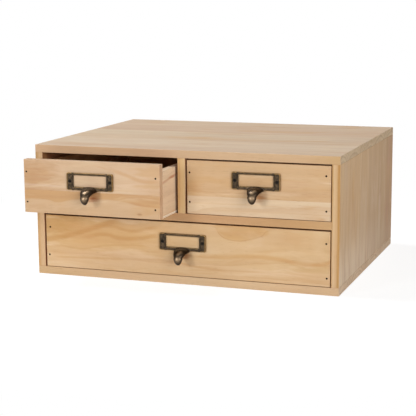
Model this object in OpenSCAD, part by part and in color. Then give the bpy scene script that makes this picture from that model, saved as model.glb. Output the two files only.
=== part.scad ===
// Desktop mini drawers: a small pine cabinet with two half-width drawers side by side over one
// full-width drawer. Each drawer has a cast label holder with a finger tongue as its pull.
//
// Frame: millimetres, +Z up, front faces -Y, +X to the right seen from the front. The origin is the
// centre of the cabinet's underside. The model is drawn with the upper left drawer pulled out.

/* [Cabinet] */
// Overall width of the cabinet, side to side
cabinet_w = 360; // [300:2:520]
// Overall depth of the cabinet, front edge to back edge
cabinet_d = 288; // [220:2:400]
// Thickness of the cabinet's boards
board_t = 9; // [7:0.5:12]
// Clear height of the lower compartment
lower_bay_h = 63; // [50:1:120]
// Clear height of the two upper compartments
upper_bay_h = 62; // [50:1:120]
// Width of the small flat planed along every board's edges
edge_ease = 0.3; // [0.1:0.1:0.6]

/* [Back panel] */
// Thickness of the plywood back panel
panel_t = 3; // [2:0.5:4]
// How far the back panel laps onto each board, in a rebate
panel_lap = 5; // [4:0.5:6]
// Clearance round the back panel's edge in its rebate
panel_gap = 0.3; // [0.1:0.1:0.6]

/* [Dowels] */
// Diameter of the glue dowels that join the cabinet's boards
dowel_d = 5; // [4:0.5:6]
// How deep a dowel goes into the face of a board
dowel_face_depth = 5.5; // [4:0.5:6]
// How deep a dowel goes into the end of a board
dowel_end_depth = 12; // [8:1:20]
// Distance from the front edge, and from the back panel, to the nearest dowel
dowel_margin = 32; // [20:2:50]
// Number of dowels in each joint
dowels_per_joint = 3; // [2:1:5]

/* [Drawers] */
// Thickness of a drawer's front board
front_t = 9; // [7:0.5:12]
// Thickness of a drawer's side boards
side_t = 8; // [6:0.5:10]
// Thickness of a drawer's back board
rear_t = 8; // [6:0.5:10]
// Thickness of a drawer's plywood bottom
floor_t = 2.5; // [2:0.5:4]
// How far a drawer's sides and back stop short of the top of its front
side_drop = 8; // [1:0.5:12]
// Gap between a drawer and its compartment, at each side
gap_side = 1.6; // [0.6:0.2:3]
// Gap above a drawer's front
gap_top = 1.6; // [0.6:0.2:3]
// Gap under a drawer
gap_under = 0.5; // [0.2:0.1:1]
// Share of its side gap by which the left drawer sits to the right of the middle
left_play = -0.8; // [-0.9:0.1:0.9]
// The same for the right drawer
right_play = 0.4; // [-0.9:0.1:0.9]
// The same for the wide drawer
wide_play = 0.3; // [-0.9:0.1:0.9]
// Room left behind a closed drawer, in front of the back panel
gap_rear = 1; // [0.5:0.5:20]
// How far the upper left drawer stands open
left_open = 46; // [0:1:120]

/* [Drawer nails] */
// Diameter of a drawer nail's shank
nail_d = 1.4; // [1:0.1:1.8]
// Diameter of a drawer nail's head
nail_head_d = 2.2; // [2:0.1:3]
// Thickness of a drawer nail's head
nail_head_t = 0.6; // [0.4:0.1:1]
// How far a drawer nail's head is punched below the wood
nail_sunk = 0.3; // [0.1:0.1:0.8]
// Length of a drawer nail
nail_len = 24; // [18:1:30]
// Height of the lower corner nails above a drawer's underside
low_nail_up = 11.5; // [9:0.5:16]
// Depth of the upper nails below the top of a drawer's sides
high_nail_down = 5.5; // [4:0.5:11]

/* [Panel pins] */
// Diameter of the pins that hold the plywood
pin_d = 1.1; // [0.8:0.1:1.4]
// Diameter of a panel pin's head
pin_head_d = 2; // [1.6:0.1:2.6]
// Thickness of a panel pin's head, which is set flush
pin_head_t = 0.5; // [0.3:0.1:0.8]
// Length of a panel pin
pin_len = 11; // [8:1:14]
// Distance from a drawer bottom's corners to the nearest pin
pin_margin = 30; // [15:1:40]
// Number of pins along each side of a drawer's bottom
pins_per_side = 4; // [2:1:6]
// Largest distance between pins along the cabinet's back panel
panel_pin_pitch = 90; // [50:5:140]

/* [Label pull] */
// Width of the pull's plate
plate_w = 55.4; // [50:0.2:70]
// Height of the pull's plate
plate_h = 19.5; // [17:0.5:24]
// Thickness of the pull's plate
plate_t = 2.4; // [1.6:0.2:3.2]
// Radius of the plate's corners
plate_r = 1.8; // [0.6:0.2:3]
// Width of the window in the plate
window_w = 40; // [32:0.5:44]
// Height of the window in the plate
window_h = 12.8; // [8:0.2:14]
// How far the window sits above the middle of the plate
window_lift = 0.6; // [0:0.1:1.5]
// Width of the raised rim round the plate and beside the window
rim_w = 1.3; // [0.8:0.1:1.8]
// Height of the raised rim above the plate's two flanges
rim_h = 0.7; // [0.3:0.1:1]
// Height of the plate's middle above the middle of a drawer's front
plate_up = 9; // [4:0.5:12]

/* [Finger tongue] */
// Width of the tongue where it leaves the plate
root_w = 19.2; // [14:0.2:26]
// Thickness of the tongue where it leaves the plate
root_t = 6.4; // [3:0.2:7]
// How far the middle of the tongue's root lies above the plate's lower edge
root_up = 0.5; // [0:0.1:1.5]
// Width of the tongue's rounded tip
tip_w = 9.6; // [7:0.2:14]
// Thickness of the tongue's rounded tip
tip_t = 7.8; // [5:0.2:10]
// How far the tongue's bend is drawn forward of the drawer's face
tongue_reach = 19; // [14:0.5:24]
// How far forward of the drawer's face the tip ends
tip_out = 15; // [9:0.5:16]
// How far the tongue sinks on its way forward to its bend
tongue_dip = 0.8; // [0:0.1:3]
// How far the tip hangs below the plate's lower edge
tongue_drop = 13.5; // [10:0.5:18]

/* [Pull screws] */
// Diameter of the small screws through the plate
screw_d = 1.4; // [1:0.1:1.8]
// Diameter of a screw's countersunk head
screw_head_d = 2.8; // [2.2:0.1:3.4]
// Depth of a screw's countersunk head
screw_head_h = 0.9; // [0.4:0.1:1.1]
// How far a screw's head lies below the plate's flange
screw_sunk = 0.3; // [0:0.1:0.5]
// Length of a screw under its head
screw_len = 8; // [5:0.5:9]

/* [Hidden] */
// Smoothness of round stretches
$fn = 32;
// Overlap that makes a cut run clean past a face
cut = 1;

// The three drawers, by the name that starts each of their nodes
LEFT = "left_drawer";
RIGHT = "right_drawer";
WIDE = "wide_drawer";
DRAWERS = [LEFT, RIGHT, WIDE];
DRAWER_PIECES = [
    "front", "left_side", "right_side", "back", "bottom",
    "corner_nails", "rear_nails", "bottom_pins", "label_pull", "pull_screws"
];
CABINET_PIECES = [
    "top_board", "bottom_board", "left_side", "right_side", "middle_shelf", "centre_divider",
    "back_panel", "back_panel_pins", "side_dowels", "shelf_dowels", "divider_dowels"
];

// Colours of the finishes
pine = [0.85, 0.71, 0.53];
pine_shade = [0.78, 0.62, 0.45];
plywood = [0.88, 0.77, 0.60];
beech = [0.80, 0.62, 0.42];
bronze = [0.27, 0.23, 0.18];
dark_steel = [0.16, 0.12, 0.09];

// Heights and places that the cabinet's boards share
inner_w = cabinet_w - 2 * board_t;
shelf_z = board_t + lower_bay_h;
upper_z = shelf_z + board_t;
top_z = upper_z + upper_bay_h;
cabinet_h = top_z + board_t;
front_y = -cabinet_d / 2;
back_y = cabinet_d / 2;
panel_y = back_y - panel_t;
drawer_len = cabinet_d - panel_t - gap_rear;
dowel_span = cabinet_d - panel_t - 2 * dowel_margin;
dowel_rows = [
    for (i = [0 : dowels_per_joint - 1]) front_y + dowel_margin + i * dowel_span / (dowels_per_joint - 1)
];

// Size and place of one drawer and its compartment
function bay_w(d) = d == WIDE ? inner_w : (inner_w - board_t) / 2;
function bay_h(d) = d == WIDE ? lower_bay_h : upper_bay_h;
function bay_z(d) = d == WIDE ? board_t : upper_z;
function bay_x(d) = d == WIDE ? 0 : (d == LEFT ? -1 : 1) * (board_t + bay_w(d)) / 2;
function play(d) = gap_side * (d == LEFT ? left_play : d == RIGHT ? right_play : wide_play);
function face_y(d) = front_y - (d == LEFT ? left_open : 0);
function box_w(d) = bay_w(d) - 2 * gap_side;
function face_h(d) = bay_h(d) - gap_under - gap_top;
function wall_h(d) = face_h(d) - side_drop;

// How far each corner nail was driven off its mark, across and up: lower left, upper left,
// lower right, upper right
function nail_strays(d) =
    d == LEFT ? [[-0.7, 0.4], [-1, -0.4], [-1.4, -1.1], [-0.8, -1.6]]
  : d == RIGHT ? [[-1, 1.7], [-1, -0.3], [-0.9, -0.9], [-1.3, 2.4]]
  : [[-0.4, 2.3], [1.3, -0.8], [0.5, -2.2], [-0.4, 0]];

// How far each pull was screwed on off its mark, across and up
function pull_stray(d) = d == LEFT ? [-0.3, -1.2] : d == RIGHT ? [-1.6, 0.8] : [0.5, -0.6];

// Evenly spaced places from a to b, no further apart than pitch
function spaced(a, b, pitch) = let (n = max(1, ceil((b - a) / pitch))) [for (i = [0 : n]) a + i * (b - a) / n];

// A rectangle with its corners cut off at 45 degrees
module eased_outline(w, h) {
    e = edge_ease;
    x = w / 2;
    y = h / 2;
    polygon([
        [x - e, -y], [x, -y + e], [x, y - e], [x - e, y],
        [-x + e, y], [-x, y - e], [-x, -y + e], [-x + e, -y]
    ]);
}

// A board between two opposite corners, with every edge eased
module eased_board(low, high) {
    size = high - low;
    translate((low + high) / 2)
    intersection() {
        linear_extrude(size.z, center = true) eased_outline(size.x, size.y);
        rotate([90, 0, 0]) linear_extrude(size.y, center = true) eased_outline(size.x, size.z);
        rotate([0, 90, 0]) linear_extrude(size.x, center = true) eased_outline(size.z, size.y);
    }
}

// A plain block between two opposite corners
module block(low, high) {
    translate(low) cube(high - low);
}

// A glue dowel along +Z: it goes into a board's face above z = 0 and into a board's end below it
module dowel() {
    translate([0, 0, -dowel_end_depth]) cylinder(h = dowel_end_depth + dowel_face_depth, d = dowel_d);
}

// The dowels between each side board and the board above or below it
module side_dowel_set() {
    for (side = [-1, 1], y = dowel_rows) {
        x = side * (cabinet_w - board_t) / 2;
        translate([x, y, top_z]) dowel();
        translate([x, y, board_t]) rotate([180, 0, 0]) dowel();
    }
}

// The dowels between the shelf's ends and the side boards
module shelf_dowel_set() {
    for (side = [-1, 1], y = dowel_rows)
        translate([side * inner_w / 2, y, shelf_z + board_t / 2]) rotate([0, side * 90, 0]) dowel();
}

// The dowels at the divider's top and foot
module divider_dowel_set() {
    for (y = dowel_rows) {
        translate([0, y, top_z]) dowel();
        translate([0, y, upper_z]) rotate([180, 0, 0]) dowel();
    }
}

// The space that the back panel's lapping edge takes out of the outer boards
module panel_rebate() {
    block(
        [-inner_w / 2 - panel_lap, panel_y, board_t - panel_lap],
        [inner_w / 2 + panel_lap, back_y + cut, top_z + panel_lap]
    );
}

// A panel pin driven along +Z, its head flush with z = 0
module panel_pin() {
    cylinder(h = pin_head_t, d = pin_head_d);
    cylinder(h = pin_len - 2 * pin_d, d = pin_d);
    translate([0, 0, pin_len - 2 * pin_d]) cylinder(h = 2 * pin_d, d1 = pin_d, d2 = pin_d / 4);
}

// The pins round the back panel and into the shelf and divider behind it
module back_panel_pin_set() {
    across = inner_w / 2 + panel_lap / 2;
    low = board_t - panel_lap / 2;
    high = top_z + panel_lap / 2;
    inset = 3 * panel_lap;
    edge_x = spaced(-across + inset, across - inset, panel_pin_pitch);
    edge_z = spaced(low + inset, high - inset, panel_pin_pitch);
    for (x = edge_x, z = [low, high]) panel_pin_at(x, z);
    for (x = [-across, across], z = edge_z) panel_pin_at(x, z);
    for (x = edge_x) if (abs(x) > board_t) panel_pin_at(x, shelf_z + board_t / 2);
    panel_pin_at(0, upper_z + upper_bay_h / 2);
}

module panel_pin_at(x, z) {
    translate([x, back_y, z]) rotate([90, 0, 0]) panel_pin();
}

// The cabinet's boards
module top_board() {
    color(pine) difference() {
        eased_board([-cabinet_w / 2, front_y, top_z], [cabinet_w / 2, back_y, cabinet_h]);
        panel_rebate();
        side_dowel_set();
        divider_dowel_set();
        back_panel_pin_set();
    }
}

module bottom_board() {
    color(pine) difference() {
        eased_board([-cabinet_w / 2, front_y, 0], [cabinet_w / 2, back_y, board_t]);
        panel_rebate();
        side_dowel_set();
        back_panel_pin_set();
    }
}

// One side board; side is -1 for the left and 1 for the right
module cabinet_side(side) {
    inner = inner_w / 2;
    outer = cabinet_w / 2;
    color(pine_shade) difference() {
        eased_board(
            [side > 0 ? inner : -outer, front_y, board_t],
            [side > 0 ? outer : -inner, back_y, top_z]
        );
        panel_rebate();
        side_dowel_set();
        shelf_dowel_set();
        back_panel_pin_set();
    }
}

module middle_shelf() {
    color(pine) difference() {
        eased_board([-inner_w / 2, front_y, shelf_z], [inner_w / 2, panel_y, upper_z]);
        shelf_dowel_set();
        divider_dowel_set();
        back_panel_pin_set();
    }
}

module centre_divider() {
    color(pine) difference() {
        eased_board([-board_t / 2, front_y, upper_z], [board_t / 2, panel_y, top_z]);
        divider_dowel_set();
        back_panel_pin_set();
    }
}

module back_panel() {
    lap = panel_lap - panel_gap;
    color(plywood) difference() {
        block([-inner_w / 2 - lap, panel_y, board_t - lap], [inner_w / 2 + lap, back_y, top_z + lap]);
        back_panel_pin_set();
    }
}

module back_panel_pins() {
    color(dark_steel) back_panel_pin_set();
}

module side_dowels() {
    color(beech) side_dowel_set();
}

module shelf_dowels() {
    color(beech) shelf_dowel_set();
}

module divider_dowels() {
    color(beech) divider_dowel_set();
}

// Places its children in a drawer: x = 0 is the drawer's middle, y = 0 its face, z = 0 its underside
module in_drawer(d) {
    translate([bay_x(d) + play(d), face_y(d), bay_z(d) + gap_under]) children();
}

// A drawer nail driven along +Z from a surface at z = 0
module nail() {
    point_len = 2 * nail_d;
    translate([0, 0, nail_sunk]) cylinder(h = nail_head_t, d = nail_head_d);
    translate([0, 0, nail_sunk]) cylinder(h = nail_len - point_len, d = nail_d);
    translate([0, 0, nail_sunk + nail_len - point_len]) cylinder(h = point_len, d1 = nail_d, d2 = nail_d / 4);
}

// The hole that a nail leaves: the nail itself and the dimple over its head
module nail_hole() {
    nail();
    translate([0, 0, -cut]) cylinder(h = cut + nail_sunk, d = nail_head_d);
}

// The four nails through a drawer's front into the ends of its sides
module at_corner_nails(d) {
    heights = [low_nail_up, wall_h(d) - high_nail_down];
    for (side = [0, 1], level = [0, 1]) {
        stray = nail_strays(d)[2 * side + level];
        x = (side == 0 ? -1 : 1) * (box_w(d) - side_t) / 2;
        translate([x + stray.x, 0, heights[level] + stray.y]) rotate([-90, 0, 0]) children();
    }
}

// The nails through a drawer's sides into the ends of its back, two at each corner
module at_rear_nails(d) {
    heights = [floor_t + low_nail_up, wall_h(d) - high_nail_down];
    for (side = [-1, 1], z = heights)
        translate([side * box_w(d) / 2, drawer_len - rear_t / 2, z]) rotate([0, -side * 90, 0]) children();
}

// The pins through a drawer's bottom, up into its sides and its back
module at_bottom_pins(d) {
    side_x = (box_w(d) - side_t) / 2;
    step = (drawer_len - front_t - 2 * pin_margin) / (pins_per_side - 1);
    for (side = [-1, 1], i = [0 : pins_per_side - 1])
        translate([side * side_x, front_t + pin_margin + i * step, 0]) children();
    for (x = spaced(pin_margin - box_w(d) / 2, box_w(d) / 2 - pin_margin, panel_pin_pitch))
        translate([x, drawer_len - rear_t / 2, 0]) children();
}

// The middle of a pull's plate, against the drawer's face
module at_pull(d) {
    stray = pull_stray(d);
    translate([stray.x, 0, face_h(d) / 2 + plate_up + stray.y]) children();
}

// The two screws, in the middle of the plate's flanges; +Z runs into the wood
module at_pull_screws(d) {
    flange_x = (plate_w + window_w) / 4;
    at_pull(d) for (side = [-1, 1])
        translate([side * flange_x, 0, 0]) rotate([-90, 0, 0]) children();
}

module drawer_front(d) {
    in_drawer(d) color(pine) difference() {
        eased_board([-box_w(d) / 2, 0, 0], [box_w(d) / 2, front_t, face_h(d)]);
        at_corner_nails(d) nail_hole();
        at_pull_screws(d) pull_screw();
    }
}

// One side of a drawer; side is -1 for the left and 1 for the right
module drawer_side(d, side) {
    inner = box_w(d) / 2 - side_t;
    outer = box_w(d) / 2;
    in_drawer(d) color(pine) difference() {
        eased_board(
            [side > 0 ? inner : -outer, front_t, floor_t],
            [side > 0 ? outer : -inner, drawer_len, wall_h(d)]
        );
        at_corner_nails(d) nail();
        at_rear_nails(d) nail_hole();
        at_bottom_pins(d) panel_pin();
    }
}

module drawer_back(d) {
    inner = box_w(d) / 2 - side_t;
    in_drawer(d) color(pine) difference() {
        eased_board([-inner, drawer_len - rear_t, floor_t], [inner, drawer_len, wall_h(d)]);
        at_rear_nails(d) nail();
        at_bottom_pins(d) panel_pin();
    }
}

module drawer_bottom(d) {
    in_drawer(d) color(plywood) difference() {
        block([-box_w(d) / 2, front_t, 0], [box_w(d) / 2, drawer_len, floor_t]);
        at_bottom_pins(d) panel_pin();
    }
}

module corner_nails(d) {
    in_drawer(d) color(dark_steel) at_corner_nails(d) nail();
}

module rear_nails(d) {
    in_drawer(d) color(dark_steel) at_rear_nails(d) nail();
}

module bottom_pins(d) {
    in_drawer(d) color(dark_steel) at_bottom_pins(d) panel_pin();
}

// A rectangle with round corners
module rounded_outline(w, h, r) {
    square([w - 2 * r, h], center = true);
    square([w, h - 2 * r], center = true);
    for (x = [-1, 1], y = [-1, 1]) translate([x * (w / 2 - r), y * (h / 2 - r)]) circle(r);
}

// The plate: a frame round the window, with a sunk flange at each end
module pull_plate() {
    window_r = plate_r / 3;
    flange_w = (plate_w - window_w) / 2 - 2 * rim_w;
    difference() {
        rotate([90, 0, 0]) linear_extrude(plate_t) rounded_outline(plate_w, plate_h, plate_r);
        translate([0, cut, window_lift]) rotate([90, 0, 0])
            linear_extrude(plate_t + 2 * cut) rounded_outline(window_w, window_h, window_r);
        for (side = [-1, 1]) translate([side * (plate_w + window_w) / 4, rim_h - plate_t, 0])
            rotate([90, 0, 0]) linear_extrude(rim_h + cut)
                rounded_outline(flange_w, plate_h - 2 * rim_w, window_r);
    }
}

// The tongue's middle line in the side view, as [forward, up] from the plate's middle
tongue_line = [
    [0, root_up - plate_h / 2],
    [tongue_reach / 2, (root_up - tongue_dip) / 2 - plate_h / 2],
    [tongue_reach, -plate_h / 2 - tongue_dip],
    [tip_out, -plate_h / 2 - tongue_drop]
];
// Power of the line's share by which the root's size goes over to the tip's
taper_power = 0.83;
// Share of the line after which the tip rounds off, and how many rings are drawn before and after it
nose_start = 0.77;
shank_rings = 9;
nose_rings = 5;
ring_sides = 20;
tongue_shares = concat(
    [for (i = [0 : shank_rings]) nose_start * i / shank_rings],
    [for (i = [1 : nose_rings - 1]) nose_start + (1 - nose_start) * sin(90 * i / nose_rings)]
);

function curve(p, t) =
    pow(1 - t, 3) * p[0] + 3 * pow(1 - t, 2) * t * p[1] + 3 * (1 - t) * t * t * p[2] + pow(t, 3) * p[3];
function slope(p, t) =
    pow(1 - t, 2) * (p[1] - p[0]) + 2 * (1 - t) * t * (p[2] - p[1]) + t * t * (p[3] - p[2]);
function blend(a, b, t) = a + (b - a) * t * t * (3 - 2 * t);
function nose(t) = t <= nose_start ? 1 : sqrt(1 - pow((t - nose_start) / (1 - nose_start), 2));

// One elliptical ring of the tongue, square to its middle line; the root's ring lies flat on the wood
function tongue_ring(t) =
    let (
        centre = curve(tongue_line, t),
        run = t == 0 ? [1, 0] : slope(tongue_line, t) / norm(slope(tongue_line, t)),
        ease = pow(t, taper_power),
        half_w = nose(t) * blend(root_w, tip_w, ease) / 2,
        half_t = nose(t) * blend(root_t, tip_t, ease) / 2
    )
    [for (k = [0 : ring_sides - 1])
        let (a = 360 * k / ring_sides, over = half_t * sin(a))
        [half_w * cos(a), -centre[0] + over * run[1], centre[1] + over * run[0]]];

// The tongue: rings along its middle line, closed by the plate end and by the tip
module finger_tongue() {
    count = len(tongue_shares);
    end = curve(tongue_line, 1);
    points = concat([for (t = tongue_shares) each tongue_ring(t)], [[0, -end[0], end[1]]]);
    tip = len(points) - 1;
    last = (count - 1) * ring_sides;
    polyhedron(points, concat(
        [[for (k = [0 : ring_sides - 1]) k]],
        [for (i = [0 : count - 2], k = [0 : ring_sides - 1])
            let (a = i * ring_sides + k, b = i * ring_sides + (k + 1) % ring_sides)
            each [[a, a + ring_sides, b], [b, a + ring_sides, b + ring_sides]]],
        [for (k = [0 : ring_sides - 1]) [last + k, tip, last + (k + 1) % ring_sides]]
    ));
}

module label_pull(d) {
    in_drawer(d) color(bronze) difference() {
        at_pull(d) union() {
            pull_plate();
            finger_tongue();
        }
        at_pull_screws(d) pull_screw_hole();
    }
}

// A small countersunk screw, driven along +Z from the drawer's face at z = 0
module pull_screw() {
    head = rim_h - plate_t + screw_sunk;
    translate([0, 0, head]) cylinder(h = screw_head_h, d1 = screw_head_d, d2 = screw_d);
    translate([0, 0, head]) cylinder(h = screw_head_h + screw_len, d = screw_d);
}

// The hole for a screw in the plate: the screw itself and the well over its head
module pull_screw_hole() {
    pull_screw();
    translate([0, 0, -plate_t - cut]) cylinder(h = cut + rim_h + screw_sunk, d = screw_head_d);
}

module pull_screws(d) {
    in_drawer(d) color(dark_steel) at_pull_screws(d) pull_screw();
}

top_board();
bottom_board();
cabinet_side(-1);  // left_side
cabinet_side(1);  // right_side
middle_shelf();
centre_divider();
back_panel();
back_panel_pins();
side_dowels();
shelf_dowels();
divider_dowels();
for (d = DRAWERS) {
    drawer_front(d);
    drawer_side(d, -1);
    drawer_side(d, 1);
    drawer_back(d);
    drawer_bottom(d);
    corner_nails(d);
    rear_nails(d);
    bottom_pins(d);
    label_pull(d);
    pull_screws(d);
}
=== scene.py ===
"""Desktop mini drawers: a pine cabinet with three nailed drawers and cast bronze label pulls.

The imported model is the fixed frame. This script dresses its boards with pine, plywood and
beech, casts the label pulls, drives every nail, pin and screw, and sets the studio.
"""

import logging
import math
from dataclasses import dataclass
from enum import Enum, IntEnum
from typing import Any, Iterable, Optional, Sequence, Union

import bpy
import numpy as np
from mathutils import Matrix, Vector, noise


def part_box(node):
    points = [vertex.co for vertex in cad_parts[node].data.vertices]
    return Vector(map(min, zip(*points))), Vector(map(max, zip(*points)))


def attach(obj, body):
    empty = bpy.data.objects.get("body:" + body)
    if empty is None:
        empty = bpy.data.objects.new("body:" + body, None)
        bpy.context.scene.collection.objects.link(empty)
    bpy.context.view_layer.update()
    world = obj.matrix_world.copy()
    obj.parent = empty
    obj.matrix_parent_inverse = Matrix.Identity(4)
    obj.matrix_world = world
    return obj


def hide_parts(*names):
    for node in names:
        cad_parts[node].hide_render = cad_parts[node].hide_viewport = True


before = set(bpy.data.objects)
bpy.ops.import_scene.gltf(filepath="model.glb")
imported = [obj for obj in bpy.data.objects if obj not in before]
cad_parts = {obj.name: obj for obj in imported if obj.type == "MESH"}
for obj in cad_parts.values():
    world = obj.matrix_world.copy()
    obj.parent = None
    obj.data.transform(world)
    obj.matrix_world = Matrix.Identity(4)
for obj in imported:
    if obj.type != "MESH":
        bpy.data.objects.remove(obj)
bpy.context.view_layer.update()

log = logging.getLogger("mini_drawers")

MM = 0.001

Colour = tuple[int, int, int]
Point = tuple[float, float]
Place = tuple[float, float, float]
Socket = bpy.types.NodeSocket
Feed = Union[float, tuple, Socket]
Feeds = dict[Union[int, str], Feed]
Steps = Sequence[tuple[float, Any]]


def linear(colour: Colour) -> tuple[float, float, float, float]:
    """Turns an 8-bit display colour into the linear values a shader takes.

    Args:
        colour: Red, green and blue from 0 to 255.

    Returns:
        Four linear values, the last of them 1.
    """
    parts = []
    for level in colour:
        share = level / 255
        dark = share / 12.92
        parts.append(dark if share <= 0.04045 else ((share + 0.055) / 1.055) ** 2.4)
    return (*parts, 1.0)


def stand(name: str, data: bpy.types.ID) -> bpy.types.Object:
    """Puts a new object with this name and data into the scene."""
    made = bpy.data.objects.new(name, data)
    bpy.context.scene.collection.objects.link(made)
    return made


class Axis(IntEnum):
    """The frame's axes: to the right, backward and up."""

    X = 0
    Y = 1
    Z = 2


class Way(IntEnum):
    """A board's own three directions, in the order in which Grain lists them."""

    ALONG = 0
    ACROSS = 1
    THROUGH = 2


class Grain(Enum):
    """How a board's wood lies: the signed axes along the fibres, across the face, through it.

    Places on a board are millimetres from the corner at which these three axes start.
    """

    FRONT = ((0, 1), (2, -1), (1, 1))
    FLAT = ((0, 1), (1, -1), (2, -1))
    UPRIGHT = ((2, -1), (1, 1), (0, 1))
    RUNNER = ((1, 1), (2, -1), (0, 1))


class Drive(Enum):
    """Which way a fastener is driven, from its head to its point."""

    BACKWARD = (0, 1, 0)
    FORWARD = (0, -1, 0)
    UP = (0, 0, 1)
    RIGHT = (1, 0, 0)
    LEFT = (-1, 0, 0)


class Graph:
    """Adds nodes to one node tree and wires them."""

    def __init__(self, tree: bpy.types.NodeTree) -> None:
        """Works on this node tree."""
        self.tree = tree

    def feed(self, socket: Socket, value: Feed) -> None:
        """Links a socket to another, or sets it to a plain value.

        Args:
            socket: The input.
            value: An output socket, a number or a tuple.
        """
        if isinstance(value, bpy.types.NodeSocket):
            self.tree.links.new(value, socket)
        else:
            socket.default_value = value

    def node(self, kind: str, feeds: Optional[Feeds] = None, **settings: Any) -> bpy.types.Node:
        """Adds one node.

        Args:
            kind: The node's Blender type.
            feeds: What goes into its inputs, by their numbers or names.
            settings: Properties to set on it.

        Returns:
            The new node.
        """
        made = self.tree.nodes.new(kind)
        for name, value in settings.items():
            setattr(made, name, value)
        for key, value in (feeds or {}).items():
            self.feed(made.inputs[key], value)
        return made

    def math(self, operation: str, a: Feed, b: Feed = 0.0, c: Feed = 0.0) -> Socket:
        """Does one sum with up to three numbers."""
        return self.node("ShaderNodeMath", {0: a, 1: b, 2: c}, operation=operation).outputs[0]

    def vector(self, operation: str, a: Feed, b: Feed = (0, 0, 0), scale: Feed = 1.0) -> Socket:
        """Does one sum with vectors, whose result is a number for a length."""
        made = self.node("ShaderNodeVectorMath", {0: a, 1: b, 3: scale}, operation=operation)
        return made.outputs[1 if operation == "LENGTH" else 0]

    def join(self, x: Feed, y: Feed, z: Feed) -> Socket:
        """Puts three numbers into a vector."""
        return self.node("ShaderNodeCombineXYZ", {0: x, 1: y, 2: z}).outputs[0]

    def split(self, vector: Socket) -> list[Socket]:
        """Takes a vector apart into its three numbers."""
        return list(self.node("ShaderNodeSeparateXYZ", {0: vector}).outputs)

    def mix(self, share: Feed, a: Feed, b: Feed, blend: str = "MIX") -> Socket:
        """Mixes a share of the second colour into the first."""
        feeds = {0: share, 6: a, 7: b}
        return self.node("ShaderNodeMix", feeds, data_type="RGBA", blend_type=blend).outputs[2]

    def span(self, value: Feed, low: Feed, high: Feed, start: Feed = 0.0, end: Feed = 1.0) -> Socket:
        """Eases from start to end while a value goes from low to high."""
        feeds = dict(enumerate((value, low, high, start, end)))
        return self.node("ShaderNodeMapRange", feeds, interpolation_type="SMOOTHSTEP").outputs[0]

    def noise(self, vector: Socket, detail: float = 2.0, roughness: float = 0.5) -> Socket:
        """Gives smooth noise from 0 to 1 that varies over one unit of the vector."""
        feeds = {"Vector": vector, "Scale": 1.0, "Detail": detail, "Roughness": roughness}
        return self.node("ShaderNodeTexNoise", feeds).outputs[0]

    def steps(self, share: Socket, stops: Steps, kind: str) -> Socket:
        """Reads a ramp.

        Args:
            share: What runs along the ramp, from 0 to 1.
            stops: Places and four-part values, in order.
            kind: CONSTANT or EASE.

        Returns:
            The value at that share.
        """
        made = self.node("ShaderNodeValToRGB", {0: share})
        ramp = made.color_ramp
        ramp.interpolation = kind
        while len(ramp.elements) > 1:
            ramp.elements.remove(ramp.elements[-1])
        ramp.elements[0].position = stops[0][0]
        ramp.elements[0].color = stops[0][1]
        for place, value in stops[1:]:
            ramp.elements.new(place).color = value
        return made.outputs[0]

    def line(self, share: Socket, points: Sequence[Point]) -> Socket:
        """Reads the height of a smooth line.

        Args:
            share: What runs along the line, from 0 to 1.
            points: The line's points, whose parts both run from 0 to 1.

        Returns:
            The height at that share.
        """
        made = self.node("ShaderNodeFloatCurve", {1: share})
        curve = made.mapping.curves[0]
        curve.points[0].location = points[0]
        curve.points[1].location = points[-1]
        for point in points[1:-1]:
            curve.points.new(*point)
        made.mapping.update()
        return made.outputs[0]


class Coat(Graph):
    """The node graph of one new material."""

    def __init__(self, name: str) -> None:
        """Starts an empty material with this name."""
        self.made = bpy.data.materials.new(name)
        self.made.use_nodes = True
        super().__init__(self.made.node_tree)
        self.tree.nodes.clear()

    def coordinates(self, kind: str) -> Socket:
        """Gives the piece's own Object coordinates, in metres, or its Normal."""
        return self.node("ShaderNodeTexCoord").outputs[kind]

    def millimetres(self) -> Socket:
        """Gives the place on the piece in millimetres."""
        return self.vector("SCALE", self.coordinates("Object"), scale=1 / MM)

    def surface(
        self, feeds: Feeds, height: Optional[Socket] = None, strength: float = 0.5, depth: float = 0.05
    ) -> bpy.types.Material:
        """Ends the graph in a shader, with a bump where a height is given.

        Args:
            feeds: What goes into the shader's inputs, by name.
            height: What raises the surface.
            strength: How strongly it does.
            depth: How far, in millimetres.

        Returns:
            The finished material.
        """
        shader = self.node("ShaderNodeBsdfPrincipled", feeds)
        if height is not None:
            feeds = {"Strength": strength, "Distance": depth * MM, "Height": height}
            self.feed(shader.inputs["Normal"], self.node("ShaderNodeBump", feeds).outputs[0])
        self.node("ShaderNodeOutputMaterial", {0: shader.outputs[0]})
        return self.made


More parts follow.
